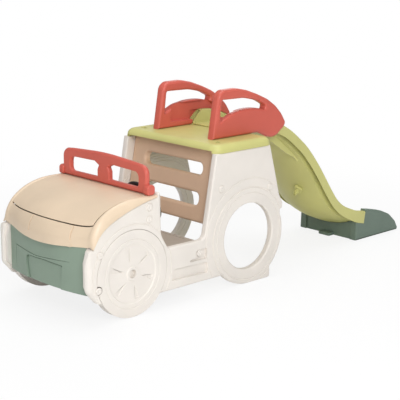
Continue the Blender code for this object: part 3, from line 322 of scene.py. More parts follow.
def turning(profile, steps):
    """A profile of (radius, height) points turned about Z."""
    tool = bmesh.new()
    corners = [tool.verts.new((radius, 0, height)) for radius, height in profile]
    for pair in zip(corners, corners[1:]):
        tool.edges.new(pair)
    return spun(tool, steps)


def drill(radius, low, high, steps):
    """A round tool that stands on the Z axis."""
    return turning([(0, low), (radius, low), (radius, high), (0, high)], steps)


def tube(inner, outer, low, high):
    """The profile of a ring with a bore."""
    return [(inner, low), (outer, low), (outer, high), (inner, high), (inner, low)]


def softened(tool, width, segments=3, sharp_deg=35):
    """Rounds the sharp edges of a piece."""
    sharp = [e for e in tool.edges if e.is_manifold and e.calc_face_angle(0.0) > math.radians(sharp_deg)]
    rounded(tool, sharp, width, segments, clamp=True)
    return tool


def moved(tool, matrix):
    bmesh.ops.transform(tool, matrix=matrix, verts=tool.verts)
    return tool


def on_side(tool, side, x, z):
    """Stands a turned piece on the side of the car, its Z axis outwards."""
    turn = Matrix.Rotation(math.radians(-90 * side), 4, "X")
    return moved(tool, Matrix.Translation((x, side * BODY_HALF_WIDTH, z)) @ turn)


def blank(tool, name):
    """The mesh as an object of its own."""
    mesh = bpy.data.meshes.new(name)
    tool.to_mesh(mesh)
    tool.free()
    made = bpy.data.objects.new(name, mesh)
    bpy.context.scene.collection.objects.link(made)
    return made


def worked(target, tools, operation="DIFFERENCE"):
    """Cuts the tools out of a piece, or adds them to it, and keeps the result."""
    helpers = []
    for tool in tools:
        helper = blank(tool, "moulding_tool")
        helpers.append(helper)
        step = target.modifiers.new("step", "BOOLEAN")
        step.operation = operation
        step.solver = "MANIFOLD"
        step.object = helper
    graph = bpy.context.evaluated_depsgraph_get()
    mesh = bpy.data.meshes.new_from_object(target.evaluated_get(graph))
    target.modifiers.clear()
    old = target.data
    target.data = mesh
    bpy.data.meshes.remove(old)
    for helper in helpers:
        bpy.data.meshes.remove(helper.data)
    return target


def together(first, *others):
    """Several closed shapes as one mesh."""
    for other in others:
        mesh = bpy.data.meshes.new("joined")
        other.to_mesh(mesh)
        other.free()
        first.from_mesh(mesh)
        bpy.data.meshes.remove(mesh)
    return first


def finished(made, name, slot, nodes, body="playhouse", smooth_deg=32):
    """Places a piece in the frame, gives it its plastic, ties it to its body and hides the imported nodes
    it stands for.
    """
    made.name = name
    made.data.name = name
    made.data.transform(Matrix.Translation(AXLE))
    made.data.materials.clear()
    made.data.materials.append(PLASTICS[slot])
    made.data.shade_smooth()
    made.data.set_sharp_from_angle(angle=math.radians(smooth_deg))
    weighting = made.modifiers.new("even_shading", "WEIGHTED_NORMAL")
    weighting.keep_sharp = True
    weighting.mode = "FACE_AREA_WITH_ANGLE"
    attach(made, body)
    if nodes:
        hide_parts(*nodes)


def mirrored(made):
    """A copy of a left piece for the right side, before it is finished."""
    tool = bmesh.new()
    tool.from_mesh(made.data)
    moved(tool, Matrix.Scale(-1, 4, (0, 1, 0)))
    bmesh.ops.reverse_faces(tool, faces=tool.faces)
    return blank(tool, "mirrored")


# Plastics

def shader_node(tree, kind, values):
    """A new shader node with some of its inputs set."""
    made = tree.nodes.new(f"ShaderNode{kind}")
    for key, value in values.items():
        made.inputs[key].default_value = value
    return made


def moulded(name, colour, grain, roughness):
    """Coloured blow-moulded plastic: faint clouding, fine skin texture and soft scuffs in the gloss."""
    shade = 0.05
    made = bpy.data.materials.new(name)
    made.use_nodes = True
    tree = made.node_tree
    links = tree.links
    shader = tree.nodes["Principled BSDF"]
    shader.inputs["Specular IOR Level"].default_value = 0.42
    place = shader_node(tree, "TexCoord", {})
    turn = shader_node(tree, "Mapping", {"Rotation": (0.3, 0.2, 0.5)})
    links.new(place.outputs["Object"], turn.inputs["Vector"])

    def cloud(scale, detail, rough=0.5):
        noise = shader_node(tree, "TexNoise", {"Scale": scale, "Detail": detail, "Roughness": rough})
        links.new(turn.outputs["Vector"], noise.inputs["Vector"])
        return noise.outputs["Fac"]

    tint = shader_node(tree, "ValToRGB", {})
    dark, light = tint.color_ramp.elements
    dark.position = 0.32
    dark.color = (*[c * (1 - shade) for c in colour], 1)
    light.position = 0.68
    light.color = (*[min(1.0, c * (1 + 0.6 * shade)) for c in colour], 1)
    links.new(cloud(5.0, 3.0), tint.inputs["Fac"])
    speckle = shader_node(tree, "Mix", {"Factor": 0.10})
    speckle.data_type = "RGBA"
    speckle.blend_type = "SOFT_LIGHT"
    links.new(tint.outputs["Color"], speckle.inputs["A"])
    links.new(cloud(420.0, 2.0), speckle.inputs["B"])
    links.new(speckle.outputs["Result"], shader.inputs["Base Color"])
    low, high = roughness
    gloss = shader_node(tree, "MapRange", {"From Min": 0.3, "From Max": 0.7, "To Min": low, "To Max": high})
    links.new(cloud(26.0, 4.0, 0.6), gloss.inputs["Value"])
    links.new(gloss.outputs["Result"], shader.inputs["Roughness"])
    skin = shader_node(tree, "Bump", {"Strength": grain, "Distance": 0.0004})
    links.new(cloud(650.0, 2.0), skin.inputs["Height"])
    swell = shader_node(tree, "Bump", {"Strength": 0.35, "Distance": 0.0012})
    links.new(cloud(14.0, 1.0), swell.inputs["Height"])
    links.new(swell.outputs["Normal"], skin.inputs["Normal"])
    links.new(skin.outputs["Normal"], shader.inputs["Normal"])
    return made


PLASTICS = {
    slot: moulded(f"{slot}_plastic", colour, grain, roughness)
    for slot, colour, grain, roughness in (
        ("cream", (0.82, 0.77, 0.71), 0.25, (0.40, 0.52)),
        ("beige", (0.80, 0.64, 0.47), 0.25, (0.30, 0.42)),
        ("sage", (0.255, 0.335, 0.262), 0.25, (0.40, 0.52)),
        ("slate_green", (0.158, 0.214, 0.172), 0.25, (0.40, 0.52)),
        ("coral", (0.64, 0.125, 0.09), 0.12, (0.30, 0.42)),
        ("lime", (0.62, 0.60, 0.225), 0.25, (0.34, 0.46)),
        ("tan", (0.73, 0.51, 0.355), 0.25, (0.40, 0.52)),
        ("taupe", (0.43, 0.37, 0.31), 0.25, (0.40, 0.52)),
        ("black", (0.012, 0.012, 0.012), 0.25, (0.30, 0.42)),
    )
}


# Hood

def hood_profiles():
    """The hood's run from the apron's lower edge to the windshield: middle, lid side and fender."""
    middle = [(-0.285, 0.350), (-0.278, 0.402), (-0.242, 0.460), (-0.180, 0.508)]
    middle += [(-0.090, 0.541), (0.010, 0.558), (HOOD_REAR, HOOD_TOP)]
    side = [(-0.232, 0.370), (-0.226, 0.420), (-0.200, 0.467), (-0.160, 0.503)]
    side += [(-0.090, 0.537), (0.010, 0.557), (HOOD_REAR, HOOD_TOP)]
    fender = [(-0.2325, 0.368), (-0.219, 0.385), (-0.194, 0.421), (-0.157, 0.454)]
    fender += [(-0.097, 0.485), (-0.013, 0.516), (0.075, 0.539), (HOOD_REAR, 0.553)]
    return [flowing(points, HOOD_STATIONS) for points in (middle, side, fender)]


HOOD_RUNS = hood_profiles()


def hood_point(across, share):
    """A point of the hood's outside, by how far across and how far along it is."""
    middle, side, fender = HOOD_RUNS
    place = min(share, 1.0) * (len(middle) - 1)
    low = min(int(place), len(middle) - 2)

    def at(run):
        return run[low].lerp(run[low + 1], place - low)

    reach = abs(across)
    if reach <= LID_HALF_WIDTH:
        bow = min(1.0, reach / (LID_HALF_WIDTH - 0.006)) ** 2
        spot = at(middle).lerp(at(side), (bow - 0.2 * bow**3) / 0.8)
    else:
        turn = (reach - LID_HALF_WIDTH) / (HOOD_HALF_WIDTH - LID_HALF_WIDTH)
        rise = math.sin(math.pi * min(1.0, turn * 1.2)) if turn < 0.83 else 0.0
        fade = max(0.0, min(1.0, 3 * (0.97 - share)))
        fall = 1 - math.sqrt(max(0.0, 1 - max(0.0, turn) ** 3.2))
        spot = at(side).lerp(at(fender), fall) + Vector((0, SHOULDER_BULGE * rise * fade))
    return Vector((spot.x, across, spot.y))


def share_at(across, x):
    """How far along the hood it reaches x."""
    low, high = 0.0, 1.0
    for _ in range(24):
        middle = (low + high) / 2
        if hood_point(across, middle).x < x:
            low = middle
        else:
            high = middle
    return low


def lid_front_share(across):
    """Where along the hood the lid's front edge runs."""
    depth = LID_FRONT_SIDE - LID_FRONT_MIDDLE
    radius = (LID_HALF_WIDTH**2 + depth**2) / (2 * depth)
    reach = min(abs(across), LID_HALF_WIDTH)
    return share_at(reach, LID_FRONT_MIDDLE + radius - math.sqrt(radius**2 - reach**2))


def crease_reach(across):
    """How far a place is from the nearer crease of the apron."""
    return min(abs(across - crease) for crease in APRON_CREASES)


def hood_columns():
    """The hood grid's places across: even on the lid, finer at its edges, the fenders and the creases."""
    half = LID_HALF_WIDTH
    columns = [half * step / 16 for step in range(16)] + [half - LID_GAP, half + LID_GAP]
    columns += [half + (HOOD_HALF_WIDTH - half) * share for share in FENDER_COLUMNS]
    columns = [-c for c in reversed(columns[1:])] + columns
    columns = [c for c in columns if crease_reach(c) > CREASE_CLEAR]
    columns += [crease + step for crease in APRON_CREASES for step in CREASE_COLUMNS]
    return sorted(columns)


def row_share(row, front, lid_end, strip_start):
    """How far along the hood a row of the grid lies, on the apron, the lid or the rear strip."""
    if row < APRON_ROWS:
        return (front - 0.004) * row / (APRON_ROWS - 1)
    if row < APRON_ROWS + LID_ROWS:
        return front + 0.002 + (lid_end - front - 0.002) * (row - APRON_ROWS) / (LID_ROWS - 1)
    return strip_start + (1 - strip_start) * (row - APRON_ROWS - LID_ROWS) / STRIP_ROWS


def raised_lid(spot, across, row):
    """Lifts the lid a little over the frame, most at the near front corner."""
    near_front = max(0.0, 1 - (row - APRON_ROWS) / 14)
    spot.z += LID_RISE + LID_FRONT_RISE * near_front * (0.4 + 0.6 * max(0.0, -across / LID_HALF_WIDTH))


def creased_frame(spot, across, row):
    """Folds the apron's creases into the frame and dips its edge beside the lid."""
    if crease_reach(across) < 0.002 and 5 < row < APRON_ROWS:
        spot.x += CREASE_DEPTH
        spot.z -= CREASE_DROP
    if crease_reach(across) < 0.005:
        spot.y -= CREASE_DRIFT * max(0.0, 1 - row / 12) ** 2
    if abs(abs(across) - LID_HALF_WIDTH - LID_GAP) < 1e-6 and row >= APRON_ROWS:
        spot.z -= LID_RISE


def hood_grid(is_lid):
    """The hood's skin as a grid, kept where the lid is or where it isn't."""
    columns = hood_columns()
    rows = APRON_ROWS + LID_ROWS + STRIP_ROWS
    splits = [
        (lid_front_share(across), share_at(across, LID_REAR), share_at(across, STRIP_FRONT))
        for across in columns
    ]
    tool = bmesh.new()
    bmesh.ops.create_grid(tool, x_segments=len(columns) - 1, y_segments=rows, size=0.5)
    for vert in tool.verts:
        column = round((vert.co.x + 0.5) * (len(columns) - 1))
        row = round((vert.co.y + 0.5) * rows)
        across = columns[column]
        spot = hood_point(across, row_share(row, *splits[column]))
        if is_lid:
            raised_lid(spot, across, row)
        else:
            creased_frame(spot, across, row)
        vert.co = spot
        vert.tag = APRON_ROWS <= row < APRON_ROWS + LID_ROWS and abs(across) < LID_HALF_WIDTH
    kept = all if is_lid else (lambda tags: not any(tags))
    drop = [face for face in tool.faces if not kept(vert.tag for vert in face.verts)]
    bmesh.ops.delete(tool, geom=drop, context="FACES")
    bmesh.ops.recalc_face_normals(tool, faces=tool.faces)
    if sum(face.normal.z for face in tool.faces) < 0:
        bmesh.ops.reverse_faces(tool, faces=tool.faces)
    return tool


def hood_piece(name, is_lid, body):
    """The lid or the frame round it: its skin with a wall and soft edges."""
    made = blank(hood_grid(is_lid), name)
    wall = made.modifiers.new("wall", "SOLIDIFY")
    wall.thickness = HOOD_WALL
    wall.offset = -1
    wall.use_even_offset = True
    edge = made.modifiers.new("edge", "BEVEL")
    edge.width = HOOD_EDGE
    edge.segments = 2
    edge.limit_method = "ANGLE"
    edge.angle_limit = math.radians(55)
    finished(made, f"{name}_moulding", "beige", [name], body, 60)


def hinge_lug(side, inner):
    """A lug below the hood's skin, round at its lower end, with the bore for a hinge pin."""
    top = HOOD_TOP - SKIN
    outline = arc((HINGE_X, HINGE_Z), LUG_RADIUS, 180, 360, 12)
    outline += [(HINGE_X + LUG_RADIUS, top, 0.0), (HINGE_X - LUG_RADIUS, top, 0.0)]
    low, high = sorted((side * inner, side * (inner + LUG_WIDTH)))
    bore = drill(PIN_BORE_RADIUS, low - 0.01, high + 0.01, 24)
    lie = Matrix.Translation((HINGE_X, 0, HINGE_Z)) @ LAID_INWARDS
    return worked(blank(slab(outline, low, high, across_y), "lug"), [moved(bore, lie)])


# Side panels

def panel_corners():
    """The side panel's outline: fender, sill, ring, cab and hood line."""
    ring = (RING_X, RING_RADIUS)
    sill_turn = math.degrees(math.asin((RING_RADIUS - 0.078) / RING_RADIUS))
    corners = [(-0.205, 0.105, 0.030), (0.165, 0.078, 0.0)]
    corners += arc(ring, RING_RADIUS, 180 + sill_turn, 270, 12)
    corners += [(0.928, 0.0, 0.014), (0.930, 0.060, 0.0)]
    corners += arc(ring, RING_RADIUS, -48, 14, 16)
    corners += [(1.000, 0.330, 0.006), (1.002, 0.350, 0.004), (1.017, 0.358, 0.014)]
    corners += [(1.018, 0.388, 0.020), (0.991, 0.437, 0.030), (CAB_REAR_X, CAB_TOP, 0.0)]
    foot_x = CAB_FRONT_X - math.tan(LADDER_LEAN) * (CAB_TOP - SILL_TOP)
    corners += [(CAB_FRONT_X, CAB_TOP, 0.0), (foot_x, SILL_TOP, 0.035), (0.222, SILL_TOP + 0.002, 0.020)]
    corners += [(0.177, 0.366, 0.080), (0.176, 0.420, 0.0), (0.174, 0.572, 0.018), (0.1545, 0.572, 0.008)]
    _, _, fender = HOOD_RUNS
    edge = [(p.x + 0.0006, p.y - 0.0012, 0.0) for p in reversed(fender[::4]) if p.x > -0.2235]
    corners += [(0.1545, edge[0][1], 0.0), *edge, (-0.2235, 0.3668, 0.0)]
    corners += [(-0.252, 0.364, 0.014), (-0.2625, 0.300, 0.060), (-0.2625, 0.172, 0.040)]
    return corners


def lip_profile(radius, depth, lip):
    """A round pressing: (radius, height) from the bottom to above the surface."""
    points = [(0.0, -depth), (radius, -depth)]
    for step in range(6):
        a = math.radians(18 * step)
        points.append((radius + lip * (1 - math.cos(a)), -lip + lip * math.sin(a)))
    points += [(radius + lip, 0.01), (0.0, 0.01)]
    return points


def groove(radius, width, depth):
    """A round line pressed into a face."""
    points = [(radius - width / 2, 0.004)]
    for step in range(7):
        a = math.radians(30 * step)
        points.append((radius - width / 2 * math.cos(a), -depth * math.sin(a)))
    points += [(radius + width / 2, 0.004), (radius - width / 2, 0.004)]
    return turning(points, 96)


def side_panel():
    """The left panel, with its wheel pocket, ring, recesses and screw seats."""
    outer = -BODY_HALF_WIDTH
    panel = blank(slab(panel_corners(), outer, -PANEL_INNER, across_y, 0.0095), "panel")
    soft_front = [(-0.205, 0.105, 0.030), (-0.150, -0.2, 0.0), (1.3, -0.2, 0.0), (1.3, 1.0, 0.0)]
    soft_front += [(-0.262, 1.0, 0.0), (-0.2625, 0.300, 0.0), (-0.2625, 0.172, 0.040)]
    worked(panel, [slab(soft_front, outer, -0.20, across_y, 0.024, 8)], "INTERSECT")
    _, _, fender = HOOD_RUNS
    box = [(-0.190, 0.110, 0.010), (0.140, 0.092, 0.020), (0.160, 0.200, 0.020), (0.160, 0.535, 0.0)]
    box += [(p.x, p.y - 0.014, 0.0) for p in reversed(fender[16:-10:6])]
    box += [(-0.235, 0.350, 0.010), (-0.250, 0.300, 0.0), (-0.250, 0.182, 0.030)]
    worked(panel, [slab(box, -0.340, -FENDER_INNER, across_y)], "UNION")
    pocket = turning(lip_profile(WHEEL_RADIUS + WHEEL_GAP, WHEEL_THICKNESS + SEAT_GAP, 0.002), 96)
    opening = turning(lip_profile(OPENING_RADIUS, 0.08, 0.010), 96)
    tools = [on_side(pocket, -1, 0, WHEEL_RADIUS), on_side(opening, -1, RING_X, RING_RADIUS)]
    back = turning(lip_profile(OPENING_RADIUS, 0.010, 0.008), 96)
    inside = Matrix.Translation((RING_X, -PANEL_INNER, RING_RADIUS)) @ LAID_INWARDS
    tools.append(moved(back, inside))
    for step, width, depth in ((-0.024, 0.007, 0.0030), (0.003, 0.010, 0.0045), (0.052, 0.008, 0.0030)):
        tools.append(on_side(groove(RING_RADIUS + step, width, depth), -1, RING_X, RING_RADIUS))
    tools.append(on_side(groove(WHEEL_RADIUS + 0.028, 0.007, 0.0030), -1, 0, WHEEL_RADIUS))
    for radius in (0.200, 0.290, 0.306, 0.322, 0.338):
        tools.append(moved(groove(radius, 0.006, 0.0030), inside))
    upper = [(0.362, 0.190, 0.006), (0.476, 0.190, 0.010), (0.476, 0.246, 0.010), (0.404, 0.246, 0.010)]
    upper += [(0.400, 0.206, 0.004), (0.362, 0.204, 0.004)]
    lower = [(0.240, 0.122, 0.010), (0.486, 0.116, 0.014), (0.480, 0.174, 0.014), (0.252, 0.180, 0.010)]
    for shape in (upper, lower):
        tools.append(pressing(shape, outer, outer + 0.013, across_y, 0.0015, 0.002))
    for _, x, z in SCREW_PLACES[:4] + SCREW_PLACES[5:]:
        tools.append(on_side(groove(0.0190, 0.0040, 0.0022), -1, x, z))
    worked(panel, tools)
    return panel


# Wheels and screws

def wheel():
    """A left front wheel: tyre and rim in one, with a dished face, narrow flutes and a hub."""
    back = -WHEEL_THICKNESS
    profile = [(0, back), (WHEEL_RADIUS, back), (WHEEL_RADIUS, 0.0), (0.1680, 0.0), (0.1665, -0.0022)]
    profile += [(0.1635, -0.0022), (0.1620, 0.0), (0.1440, 0.0), (0.1385, -WHEEL_FACE_DISH)]
    profile += [(0.0345, -WHEEL_FACE_DISH), (0.0315, 0.0), (HUB_BORE_RADIUS, 0.0)]
    profile += [(HUB_BORE_RADIUS, -HUB_BORE_DEPTH), (0, -HUB_BORE_DEPTH)]
    made = blank(on_side(softened(turning(profile, 96), 0.0018, 3, 25), -1, 0, WHEEL_RADIUS), "wheel")
    tools = []
    for index in range(FLUTE_COUNT):
        flute = [(0.048, 0.0, 0.002), (0.126, -0.014, 0.005), (0.131, 0.0, 0.0), (0.126, 0.014, 0.005)]
        cut = pressing(flute, -WHEEL_FACE_DISH, -0.0088, across_z, 0.0014, 0.0022)
        moved(cut, Matrix.Rotation(math.radians(FLUTE_START_DEG + 360 / FLUTE_COUNT * index), 4, "Z"))
        tools.append(on_side(cut, -1, 0, WHEEL_RADIUS))
    _, x, z = SCREW_PLACES[3]
    tools.append(on_side(drill(0.0215, -0.1, 0.02, 32), -1, x, z))
    return worked(made, tools)


def cap_screw(side, x, z):
    """A cap screw's round plastic head with its small dimple."""
    radius = 0.0165
    profile = [(0, -0.024), (0.005, -0.024), (0.005, 0.0003), (radius, 0.0003), (radius, 0.0026)]
    profile += [(0.85 * radius, 0.0042), (0.36 * radius, 0.0042), (0.30 * radius, 0.0022), (0, 0.0018)]
    return blank(on_side(softened(turning(profile, 40), 0.0005, 2, 25), side, x, z), "screw")


def hub_bolt(side):
    """The bolt that holds a front wheel, sunk in its hub."""
    top = -HUB_BORE_DEPTH + SEAT_GAP
    profile = [(0, top - 0.03), (0.006, top - 0.03), (0.006, top), (0.015, top), (0.015, top + 0.0035)]
    profile += [(0.0105, top + 0.005), (0.005, top + 0.005), (0.004, top + 0.003), (0, top + 0.003)]
    return blank(on_side(softened(turning(profile, 32), 0.0006, 2, 25), side, 0, WHEEL_RADIUS), "bolt")


# Front of the car

def bumper():
    """The green panel between the fenders, bowed after its plate and line are pressed in."""
    half = FENDER_INNER - SEAT_GAP
    face = rectangle(-half, BUMPER_LOW, half, BUMPER_HIGH)
    made = blank(slab(face, 0.0, 0.016, across_x, 0.0035), "bumper")
    plate = [(-0.136, 0.120, 0.0), (0.110, 0.120, 0.0), (0.132, 0.215, 0.05)]
    plate += [(0.130, 0.253, 0.020), (-0.020, 0.2585, 0.30), (-0.150, 0.255, 0.022)]
    rim = [(-0.152, 0.249, 0.0), (-0.148, 0.2565, 0.0), (-0.020, 0.2610, 0.30), (0.131, 0.2550, 0.022)]
    rim += [(0.133, 0.210, 0.05), (0.111, 0.120, 0.0), (0.1050, 0.120, 0.0), (0.1270, 0.210, 0.05)]
    rim += [(0.1255, 0.2485, 0.018), (-0.020, 0.2540, 0.30)]
    rim.reverse()
    line = [(0.238, 0.282, 0.010), (0.050, 0.2685, 0.20), (-0.199, 0.284, 0.0), (-0.199, 0.2815, 0.0)]
    line += [(0.050, 0.2635, 0.20), (0.2335, 0.2770, 0.008), (0.2335, 0.160, 0.0), (0.238, 0.160, 0.0)]
    line.reverse()
    worked(made, [
        pressing(plate, 0.0, 0.0090, across_x, 0.0010, 0.0012),
        pressing(rim, 0.0, 0.0125, across_x),
        pressing(line, 0.0, 0.0036, across_x, 0.0008, 0.0008),
    ])
    tool = bmesh.new()
    tool.from_mesh(made.data)
    for step in range(1, 32):
        cut = tool.verts[:] + tool.edges[:] + tool.faces[:]
        spot = (0, half * (step / 16 - 1), 0)
        bmesh.ops.bisect_plane(tool, geom=cut, dist=1e-6, plane_co=spot, plane_no=(0, 1, 0))
    for vert in tool.verts:
        vert.co.x += -0.264 + BUMPER_BOW * (vert.co.y / half) ** 2
        vert.co.x += 0.012 * max(0.0, 1 - (vert.co.z - BUMPER_LOW) / 0.02) ** 2 * (vert.co.x > -0.2)
    tool.to_mesh(made.data)
    tool.free()
    return made


def windshield():
    """The coral frame with two windows, a middle post with a mirror shape, and two end knobs."""
    half, bottom = WINDSHIELD_HALF_WIDTH, HOOD_TOP + SEAT_GAP
    corners = [(-half, bottom, 0.018), (half, bottom, 0.018), (half, WINDSHIELD_TOP - 0.022, 0.048)]
    corners += [(half - 0.080, WINDSHIELD_TOP - 0.014, 0.30), (0.0, WINDSHIELD_TOP, 1.5)]
    corners += [(-half + 0.080, WINDSHIELD_TOP - 0.014, 0.30), (-half, WINDSHIELD_TOP - 0.022, 0.048)]
    made = blank(slab(corners, WINDSHIELD_FRONT, WINDSHIELD_REAR, across_x, 0.0135, 8), "windshield")
    knobs = []
    for _, side in SIDES:
        block = [(0.101, bottom, 0.014), (0.149, bottom, 0.014), (0.149, bottom + 0.048, 0.016)]
        block.append((0.101, bottom + 0.048, 0.016))
        knobs.append(slab(block, side * (half - 0.014), side * (half + 0.021), across_y, 0.0075))
    worked(made, knobs, "UNION")
    tools = []
    for _, side in SIDES:
        window = [(0.038, 0.581, 0.012), (0.270, 0.579, 0.028), (0.269, 0.668, 0.034)]
        window += [(0.066, 0.673, 0.010), (0.024, 0.652, 0.009), (0.038, 0.626, 0.012)]
        window = [(side * y, z, r) for y, z, r in window]
        if side < 0:
            window.reverse()
        tools += through(window, WINDSHIELD_FRONT, WINDSHIELD_REAR, across_x, 0.008)
    return worked(made, tools)


STEERING = Matrix.Translation(STEERING_PLACE) @ Matrix.Rotation(STEERING_TILT, 4, "Y")


def dashboard():
    """The panel behind the windshield, with the bore for the steering column."""
    half = FENDER_INNER - SEAT_GAP
    top = HOOD_TOP - SKIN - 0.0009
    corners = [(0.141, 0.330, 0.003), (0.156, 0.330, 0.005), (0.168, 0.420, 0.030), (0.168, top, 0.006)]
    corners += [(0.117, top, 0.0), (0.117, top - 0.012, 0.0), (0.156, top - 0.012, 0.0)]
    corners.append((0.156, 0.420, 0.030))
    made = blank(slab(corners, -half, half, across_y), "dashboard")
    bore = drill(0.0203, -0.11, 0.0, 40)
    panel_lines = []
    for y0, y1 in ((-0.270, -0.215), (0.0, 0.24)):
        glove = rectangle(y0, 0.440, y1, 0.520, 0.012)
        panel_lines.append(pressing(glove, 0.168, 0.1655, across_x, 0.0008, 0.001))
    return worked(made, [moved(bore, STEERING), *panel_lines])


def steering_column():
    """The fixed tube that the steering shaft turns in."""
    low = SHAFT_LOW + 0.008 + 0.002
    column = turning(tube(0.0094, 0.020, low, low + 0.044), 48)
    return blank(moved(softened(column, 0.0015), STEERING), "column")


def steering_wheel():
    """A plain toy steering wheel: round rim, three flat spokes and a hub."""
    rim = bmesh.new()
    circle = bmesh.ops.create_circle(rim, segments=18, radius=STEERING_TUBE_RADIUS)
    upright = Matrix.Translation((STEERING_RIM_RADIUS, 0, 0)) @ Matrix.Rotation(math.pi / 2, 4, "X")
    bmesh.ops.transform(rim, matrix=upright, verts=circle["verts"])
    spun(rim, 64)
    parts = [softened(turning(tube(SHAFT_BORE, 0.026, -0.022, HUB_TOP), 48), 0.002)]
    for turn in (90, 210, 330):
        flat = [(0.020, -0.013, 0.0), (0.102, -0.010, 0.0), (0.102, 0.010, 0.0), (0.020, 0.013, 0.0)]
        spoke = slab(flat, -0.010, -0.002, across_z, 0.002)
        parts.append(moved(spoke, Matrix.Rotation(math.radians(turn), 4, "Z")))
    return blank(moved(together(rim, *parts), STEERING), "wheel_of_steering")


def hub_cap():
    """The round cap on the steering wheel's hub."""
    low = HUB_TOP + SEAT_GAP
    profile = [(0, low), (0.023, low), (0.023, low + 0.003), (0.016, low + 0.007), (0, low + 0.008)]
    return blank(moved(softened(turning(profile, 48), 0.001, 3, 15), STEERING), "cap")


def storage_bin():
    """The open tray under the lid."""
    _, side, _ = HOOD_RUNS
    half = FENDER_INNER - SEAT_GAP
    under = []
    for before, here, after in zip(side, side[3:], side[6:]):
        along = (after - before).normalized()
        under.append(here + Vector((along.y, -along.x)) * 0.0095)
    top = [(p.x, p.y, 0.0) for p in under[::4] if -0.186 < p.x < 0.058]
    outline = [(-0.156, 0.235, 0.0), (0.058, 0.235, 0.0), (0.058, top[-1][1], 0.0), *reversed(top)]
    outline += [(-0.186, top[0][1] - 0.010, 0.0)]
    made = blank(slab(outline, -half, half, across_y), "bin")
    hollow = [(-0.150, 0.240, 0.020), (0.053, 0.240, 0.020), (0.053, 0.62, 0.0), (-0.181, 0.62, 0.0)]
    hollow += [(-0.181, top[0][1] - 0.010, 0.0)]
    return worked(made, [slab(hollow, 0.005 - half, half - 0.005, across_y)])


def seat():
    """The moulded seat between the sills, with a shallow dished top."""
    half = PANEL_INNER - SEAT_GAP
    outline = [(0.205, 0.095, 0.0), (0.452, 0.095, 0.0), (0.442, SEAT_TOP, 0.014), (0.215, SEAT_TOP, 0.014)]
    made = blank(slab(outline, -half, half, across_y), "seat_block")
    hollow = [(0.211, 0.075, 0.0), (0.446, 0.075, 0.0), (0.436, 0.277, 0.010), (0.221, 0.277, 0.010)]
    dish = rectangle(0.245, -0.270, 0.415, 0.270, 0.03)
    return worked(made, [
        slab(hollow, 0.006 - half, half - 0.006, across_y),
        pressing(dish, SEAT_TOP, 0.2805, across_z, 0.0015, 0.001),
    ])


# Cab

def ladder():
    """The leaning ladder panel with two step slots and soft edges."""
    half = PANEL_INNER - SEAT_GAP
    tall = (CAB_TOP + 0.006 - LADDER_LOW) / math.cos(LADDER_LEAN)
    outline = [(-half, 0, 0.018), (half, 0, 0.018), (half, tall, 0.0), (-half, tall, 0.0)]
    made = blank(slab(outline, 0, LADDER_DEPTH, across_x, 0.013), "ladder")
    tools = []
    for low, high in LADDER_SLOTS:
        low = (low - LADDER_LOW) / math.cos(LADDER_LEAN)
        high = (high - LADDER_LOW) / math.cos(LADDER_LEAN)
        slot = rectangle(-0.231, low, 0.231, high, 0.043)
        tools += through(slot, 0.0, LADDER_DEPTH, across_x, 0.0145)
    worked(made, tools)
    face = CAB_FRONT_X + 0.048 - math.tan(LADDER_LEAN) * (CAB_TOP - LADDER_LOW)
    made.data.transform(Matrix.Translation((face, 0, LADDER_LOW)) @ Matrix.Rotation(LADDER_LEAN, 4, "Y"))
    return made


def roof():
    """The roof deck: a tray turned upside down, with soft edges, hollow below."""
    half, front, rear = BODY_HALF_WIDTH, 0.530, 0.935
    bottom = CAB_TOP + SEAT_GAP
    corners = [(front, -half, 0.058), (rear, -half, 0.045), (rear, half, 0.045), (front, half, 0.058)]
    tool = outline_face(corners, across_z, bottom, 10)
    top = pushed(tool, tool.faces[:][0], Vector((0, 0, DECK_Z - bottom - DECK_EDGE)))
    for sine, cosine in QUARTER_ROUND:
        sunk(tool, top, Vector((0, 0, DECK_EDGE * sine)), DECK_EDGE * cosine)
    made = blank(closed(tool), "roof")
    inner = PANEL_INNER - SEAT_GAP
    tools = []
    hollow = rectangle(0.550, -inner, 0.908, inner, 0.040)
    tools.append(slab(hollow, bottom - 0.05, DECK_Z - DECK_WALL, across_z))
    notch = rectangle(0.48, -inner, 0.60, inner)
    tools.append(slab(notch, bottom - 0.04, bottom + 0.012, across_z))
    for _, side in SIDES:
        y = side * 0.275
        pocket = rectangle(0.600, y - 0.020, 0.626, y + 0.020, 0.006)
        tools.append(pressing(pocket, DECK_Z, DECK_Z - 0.0120, across_z, 0.0015))
    return worked(made, tools)


# Slide

def chute_path():
    """Points along the chute's rim, each with the direction down through it."""
    fall = HUMP_TOP - CHUTE_END_RIM
    steps = [(CHUTE_START, 1.0), (0.950, 1.0), (1.010, 0.994), (1.080, 0.963), (1.150, 0.916)]
    steps += [(1.224, 0.853), (1.287, 0.783), (1.370, 0.675), (1.466, 0.505), (1.575, 0.277)]
    steps += [(1.635, 0.164), (1.692, 0.098), (1.760, 0.052), (1.822, 0.018), (CHUTE_END, 0.0)]
    points = flowing([(x, CHUTE_END_RIM + share * fall) for x, share in steps], CHUTE_STATIONS)
    stations = []
    for index, point in enumerate(points):
        along = (points[min(index + 1, len(points) - 1)] - points[max(index - 1, 0)]).normalized()
        stations.append((point, Vector((along.y, -along.x))))
    return stations


CHUTE_PATH = chute_path()


